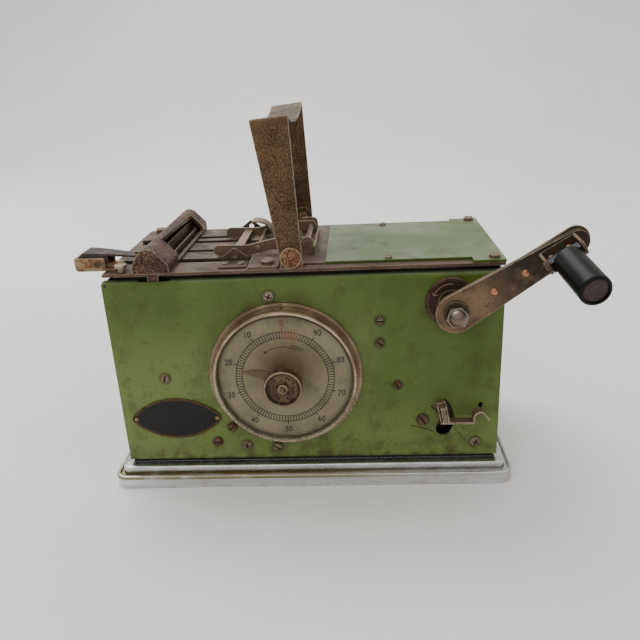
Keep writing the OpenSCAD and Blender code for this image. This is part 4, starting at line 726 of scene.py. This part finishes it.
# %% Paper finish
def matt_paper():
    f = Finish("matt_paper")
    cloud = f.noise(3.0, 0.3, 0.7, detail=4)
    fibre = f.noise(260, 0.3, 0.7, detail=5)
    ribs = f.noise(1.0, 0.3, 0.7, detail=3, at=f.stretch((70, 700, 700)))
    tone = f.blend(cloud, srgb(242, 241, 240), srgb(236, 233, 230))
    ribbed = f.blend(f.times(ribs, 0.35), tone, srgb(226, 225, 222))
    return f.done(base_color=ribbed, roughness=0.9, normal=f.bump(fibre, 0.0002, 0.15))


paper.data.materials.append(matt_paper())
print("paper finish:", paper.data.materials[0].name)

# %% [markdown]
# ## Finishing the CAD pieces
# Every solid is already right, so each keeps its CAD mesh and only takes a finish. A table from
# finish to nodes is easier to check against the photograph than sixty lines of assignments.

# %% Finishes on the CAD nodes
FINISHES = {
    enamel_green: "front_panel rear_panel left_end_panel right_end_panel top_cover",
    plating: "base_moulding",
    steel["bed_brown"]: "bed_plate deck_plates guide_brackets press_blade",
    steel["handle_bronze"]: "carry_handle handle_ears",
    steel["head_bronze"]: "press_head",
    stop_rust: "stop_bracket",
    arm_bronze: "crank_arm",
    steel["oiled_brown"]: "grip_bracket flap_pin crank_washer",
    steel["dark_pointer"]: "dial_pointer",
    steel["disc_brown"]: "crank_escutcheon crank_bushes",
    steel["yoke_steel"]: "hold_down_yoke selector_lever yoke_spring yoke_bracket",
    rim_bronze: "dial_bezel",
    knob_bronze: "pointer_knob",
    steel["bright_steel"]: "grip_hinge_pin yoke_shaft deck_screws",
    steel["pale_plated"]: "thumb_screw",
    steel["rivet_bronze"]: "nameplate_rivets",
    cross_screw: "cross_head_screws",
    slot_screw: "slotted_screws selector_screw",
    steel["polished_nut"]: "crank_nut",
    steel["copper_rivet"]: "crank_rivets",
    steel["rust_face"]: "handle_pivots",
    steel["brass_old"]: "first_wheel second_wheel idler_wheel",
    steel["inner_plain"]: "base_plate front_frame_plate rear_frame_plate frame_posts panel_standoffs "
                          "crank_shaft gear_studs pointer_arbor press_yoke press_rocker pitman_rod "
                          "feed_shaft",
    steel["plum_paint"]: "stop_flap",
    grip_black: "grip_fork crank_grip",
    plug_brown: "grip_end_cap",
    plate_enamel: "nameplate",
    dial_enamel: "dial_face",
    glass_dust: "dial_glass",
}
for material, names in FINISHES.items():
    for name in names.split():
        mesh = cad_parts[name].data
        mesh.materials.clear()
        mesh.materials.append(material)
left_over = [n for n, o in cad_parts.items() if o.data.materials[0] not in FINISHES]
print("finished", sum(len(n.split()) for n in FINISHES.values()), "nodes, left over:", left_over)

# %% [markdown]
# ## The dial's print
# A ring of a hundred divisions sits between two thin circles, with a longer stroke at every ten
# and a red stretch from ninety-five to nought. Strokes that repeat round a circle are a natural
# task for Geometry Nodes: one stroke is instanced on the points of a circle, and the tree's own
# inputs hold the radii, so inner and outer strokes, the long ones and the red ones all come from
# one tree.

# %% Tree that prints strokes round a dial
STROKE_INPUTS = (
    ("Count", "Int", 100), ("First", "Int", 0), ("Last", "Int", 99), ("Every", "Int", 1),
    ("Inner", "Float", 0.029), ("Outer", "Float", 0.034), ("Width", "Float", 0.00058),
    ("Height", "Float", 0.00006), ("Centre", "Vector", (0, 0, 0)), ("Ink", "Material", None),
)


def stroke_ring_tree():
    """Count places round a circle, of which every so many from First to Last carry a stroke."""
    tree = bpy.data.node_groups.new("stroke_ring", "GeometryNodeTree")
    tree.interface.new_socket(name="Geometry", in_out="OUTPUT", socket_type="NodeSocketGeometry")
    for name, kind, value in STROKE_INPUTS:
        item = tree.interface.new_socket(name=name, in_out="INPUT", socket_type="NodeSocket" + kind)
        item.default_value = value
    add, link = tree.nodes.new, tree.links.new
    given = add("NodeGroupInput").outputs

    def maths(kind, *values):
        node = add("ShaderNodeMath")
        node.operation = kind
        for slot, value in zip(node.inputs, values):
            if isinstance(value, bpy.types.NodeSocket):
                link(value, slot)
            else:
                slot.default_value = value
        return node.outputs[0]

    points = add("GeometryNodePoints")
    link(given["Count"], points.inputs["Count"])
    index = add("GeometryNodeInputIndex").outputs[0]
    turn = maths("MULTIPLY_ADD", maths("DIVIDE", index, given["Count"]), 2 * math.pi, math.pi / 2)
    middle = maths("MULTIPLY", maths("ADD", given["Inner"], given["Outer"]), 0.5)
    place = add("ShaderNodeCombineXYZ")
    link(maths("MULTIPLY", middle, maths("COSINE", turn)), place.inputs[0])
    link(maths("MULTIPLY", middle, maths("SINE", turn)), place.inputs[1])
    link(place.outputs[0], points.inputs["Position"])
    stroke = add("GeometryNodeMeshCube")
    size = add("ShaderNodeCombineXYZ")
    link(maths("SUBTRACT", given["Outer"], given["Inner"]), size.inputs[0])
    link(given["Width"], size.inputs[1])
    link(given["Height"], size.inputs[2])
    link(size.outputs[0], stroke.inputs["Size"])
    lean = add("ShaderNodeCombineXYZ")
    link(turn, lean.inputs[2])
    wanted = maths("COMPARE", maths("MODULO", index, given["Every"]), 0.0, 0.1)
    after = maths("GREATER_THAN", maths("ADD", index, 0.5), given["First"])
    before = maths("LESS_THAN", maths("SUBTRACT", index, 0.5), given["Last"])
    chosen = maths("MULTIPLY", wanted, maths("MULTIPLY", after, before))
    put = add("GeometryNodeInstanceOnPoints")
    link(points.outputs[0], put.inputs["Points"])
    link(chosen, put.inputs["Selection"])
    link(stroke.outputs["Mesh"], put.inputs["Instance"])
    link(lean.outputs[0], put.inputs["Rotation"])
    real = add("GeometryNodeRealizeInstances")
    link(put.outputs[0], real.inputs[0])
    stand = add("GeometryNodeTransform")
    link(real.outputs[0], stand.inputs["Geometry"])
    stand.inputs["Rotation"].default_value = (math.pi / 2, 0, 0)
    link(given["Centre"], stand.inputs["Translation"])
    paint = add("GeometryNodeSetMaterial")
    link(stand.outputs[0], paint.inputs["Geometry"])
    link(given["Ink"], paint.inputs["Material"])
    link(paint.outputs[0], add("NodeGroupOutput").inputs[0])
    return tree


stroke_ring = stroke_ring_tree()
print("stroke tree:", len(stroke_ring.nodes), "nodes")

# %% [markdown]
# ## Growing and printing the ring
# The export wants plain meshes, so an object carries the tree only long enough to be evaluated.
# Its result is copied to a mesh of its own, and the object that carried the tree is deleted. Each
# thin circle is three hundred short strokes from the same tree, laid so that they overlap.

# %% Growing a tree into a mesh
def grown(name, tree, **inputs):
    """Runs a tree and returns its result as a plain mesh object with no modifier."""
    maker = bpy.data.objects.new("maker", bpy.data.meshes.new("maker"))
    bpy.context.scene.collection.objects.link(maker)
    modifier = maker.modifiers.new("tree", "NODES")
    modifier.node_group = tree
    for item in tree.interface.items_tree:
        if item.in_out == "INPUT" and item.name in inputs:
            modifier[item.identifier] = inputs[item.name]
    graph = bpy.context.evaluated_depsgraph_get()
    mesh = bpy.data.meshes.new_from_object(maker.evaluated_get(graph), depsgraph=graph)
    bpy.data.objects.remove(maker)
    mesh.name = name
    piece = bpy.data.objects.new(name, mesh)
    bpy.context.scene.collection.objects.link(piece)
    return piece


tree_items = stroke_ring.interface.items_tree
print("inputs of the tree:", [item.name for item in tree_items if item.in_out == "INPUT"])

# %% Ring of divisions
face_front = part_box("dial_face")[0][1]
print_y = face_front - 0.00003
ring_in, ring_out, tens_out, nought_out = 0.0289, 0.03315, 0.0356, 0.0364
tens_width, nought_width, circle_width = 0.0006, 0.0005, 0.00055
divisions, first_red, circle_steps, overlap = 100, 95, 300, 1.1
red_step = circle_steps * first_red // divisions
print_centre = (dial_centre[0], print_y, dial_centre[2])


def dial_ring(name, material, **sizes):
    return grown(name, stroke_ring, Centre=print_centre, Ink=material, **sizes)


dial_rings = [
    dial_ring("divisions_dark", ink_dark, Inner=ring_in, Outer=ring_out, First=1, Last=first_red - 1),
    dial_ring("divisions_red", ink_red, Inner=ring_in, Outer=ring_out, First=first_red, Last=divisions - 1),
    dial_ring("tens_dark", ink_dark, Inner=ring_in, Outer=tens_out, First=1, Last=divisions - 1, Every=10,
              Width=tens_width),
    dial_ring("nought_red", ink_red, Inner=ring_in, Outer=nought_out, First=0, Last=0, Width=nought_width),
]
for radius in (ring_in, ring_out):
    step = 2 * math.pi * radius / circle_steps * overlap
    for first, last, material, label in (
            (0, red_step - 1, ink_dark, "dark"), (red_step, circle_steps - 1, ink_red, "red")):
        dial_rings.append(dial_ring(
            f"circle_{label}_{round(radius * 10000)}", material, Count=circle_steps, First=first, Last=last,
            Inner=radius - circle_width / 2, Outer=radius + circle_width / 2, Width=step, Height=0.00005))
print("dial strokes:", sum(len(o.data.polygons) for o in dial_rings) // 6)

# %% [markdown]
# ## Numbers on the dial
# Nine dark numbers and a red nought stand upright round the ring and run anticlockwise, as on the
# real dial, because the crank and its pointer turn that way. Text objects give the outlines. They
# are turned into meshes before they are placed, because the export needs meshes.

# %% Numbers
digit_height, cap_share, digit_narrowing = 0.0043, 0.72, 0.86
ink_half_thickness, ink_spread = 0.00003, 0.00011


def printed_number(words, centre, material):
    """An upright number of ink, made a mesh first and then narrowed, stood up and placed."""
    data = bpy.data.curves.new("number", "FONT")
    data.body = words
    data.align_x, data.align_y = "CENTER", "CENTER"
    data.size = digit_height / cap_share
    data.extrude = ink_half_thickness
    data.offset = ink_spread
    data.space_character = 1.04
    shown = bpy.data.objects.new("number", data)
    bpy.context.scene.collection.objects.link(shown)
    graph = bpy.context.evaluated_depsgraph_get()
    mesh = bpy.data.meshes.new_from_object(shown.evaluated_get(graph), depsgraph=graph)
    bpy.data.objects.remove(shown)
    upright = Matrix.Rotation(math.pi / 2, 4, "X") @ Matrix.Diagonal((digit_narrowing, 1, 1, 1))
    mesh.transform(Matrix.Translation(centre) @ upright)
    mesh.materials.clear()
    mesh.materials.append(material)
    piece = bpy.data.objects.new(f"number_{words}", mesh)
    bpy.context.scene.collection.objects.link(piece)
    return piece


numbers = []
for count in range(0, divisions, 10):
    angle = math.pi / 2 + count / divisions * 2 * math.pi
    reach = 0.0392 if count in (0, 50) else 0.0393
    centre = (dial_centre[0] + reach * math.cos(angle), print_y, dial_centre[2] + reach * math.sin(angle))
    numbers.append(printed_number(str(count), centre, ink_red if count == 0 else ink_dark))
print("numbers:", [o.name for o in numbers])

# %% [markdown]
# ## Direction arrows
# A small feathered arrow is printed above the knob, and a curved one is scratched into the
# crank's disc. Each is a thin strip that follows a few points, so one helper draws both.

# %% Arrow strips
strip_thickness = 0.00006


def strip(points, width, y):
    """Vertices and faces of a thin strip along points (x, z), with one width or one at each point."""
    verts, faces = [], []
    for i, (x, z) in enumerate(points):
        ax, az = points[max(i - 1, 0)]
        bx, bz = points[min(i + 1, len(points) - 1)]
        length = math.hypot(bx - ax, bz - az) or 1
        nx, nz = -(bz - az) / length, (bx - ax) / length
        w = (width[i] if isinstance(width, (list, tuple)) else width) / 2
        for side in (1, -1):
            for dy in (0, -strip_thickness):
                verts.append((x + side * nx * w, y + dy, z + side * nz * w))
    for i in range(len(points) - 1):
        a, b = 4 * i, 4 * (i + 1)
        faces += [(a + 1, a + 3, b + 3, b + 1), (a, b, b + 2, a + 2)]
        faces += [(a, a + 1, b + 1, b), (a + 2, b + 2, b + 3, a + 3)]
    faces += [(0, 2, 3, 1), (len(verts) - 4, len(verts) - 3, len(verts) - 1, len(verts) - 2)]
    return verts, faces


def strips_piece(name, strips, material):
    """One piece from several strips, with its normals made to point outwards."""
    verts, faces = [], []
    for v, f in strips:
        faces += [tuple(i + len(verts) for i in face) for face in f]
        verts += v
    mesh = bpy.data.meshes.new(name)
    mesh.from_pydata(verts, [], faces)
    mesh.materials.append(material)
    shell = bmesh.new()
    shell.from_mesh(mesh)
    bmesh.ops.recalc_face_normals(shell, faces=shell.faces)
    shell.to_mesh(mesh)
    shell.free()
    piece = bpy.data.objects.new(name, mesh)
    bpy.context.scene.collection.objects.link(piece)
    return piece


def arc_points(centre, radius, start, end, count):
    turns = [math.radians(start + (end - start) * i / (count - 1)) for i in range(count)]
    return [(centre[0] + radius * math.cos(t), centre[1] + radius * math.sin(t)) for t in turns]


print("a straight strip has", len(strip([(0, 0), (0, 0.01)], 0.001, 0)[1]), "faces")

# %% Feathered arrow on the dial
dial_xz = (dial_centre[0], dial_centre[2])
shaft_width, head_widths, feather_width = 0.00048, [0.0005, 0.0017, 0.0012, 0.0003], 0.00042
feather_in, feather_out, feather_lean, feather_span = 0.0219, 0.0241, 4, 20
shaft = strip(arc_points(dial_xz, 0.0226, 122, 82, 12), shaft_width, print_y)
head = strip(arc_points(dial_xz, 0.0223, 119, 125.5, 4), head_widths, print_y)
feathers = []
for a in range(61, 85, 4):
    inner = arc_points(dial_xz, feather_in, a, a, 2)[0]
    outer = arc_points(dial_xz, feather_out, a - feather_lean, a - feather_lean, 2)[0]
    feathers.append(strip([inner, outer], feather_width, print_y))
for radius, start in ((feather_in, 61), (feather_out, 57)):
    rail = arc_points(dial_xz, radius, start, start + feather_span, 6)
    feathers.append(strip(rail, feather_width, print_y))
dial_arrow = strips_piece("dial_arrow", [shaft, head] + feathers, ink_dark)
print("dial arrow:", len(dial_arrow.data.polygons), "faces")

# %% Scratched arrow on the crank's disc
scratch_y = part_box("crank_escutcheon")[0][1] + 0.0004
crank_xz = (crank_centre[0], crank_centre[2])
disc_arc = arc_points(crank_xz, 0.0122, 84, 158, 16)
tip = disc_arc[-1]
disc_strips = [strip(disc_arc, 0.00032, scratch_y)]
for dx, dz in ((-0.0008, 0.0022), (0.0024, 0.0004)):
    disc_strips.append(strip([tip, (tip[0] + dx, tip[1] + dz)], 0.0003, scratch_y))
disc_arrow = strips_piece("disc_arrow", disc_strips, ink("scratched_bare", (176, 152, 118)))
print("disc arrow:", len(disc_arrow.data.polygons), "faces")

# %% [markdown]
# ## What the print rides on
# The dial's face and the crank's disc are fixed to the case, so all print rides on the housing.

# %% Riding on the housing
for piece in dial_rings + numbers + [dial_arrow, disc_arrow]:
    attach(piece, "housing")
print("printed pieces on the housing:", len(dial_rings) + len(numbers) + 2)

# %% [markdown]
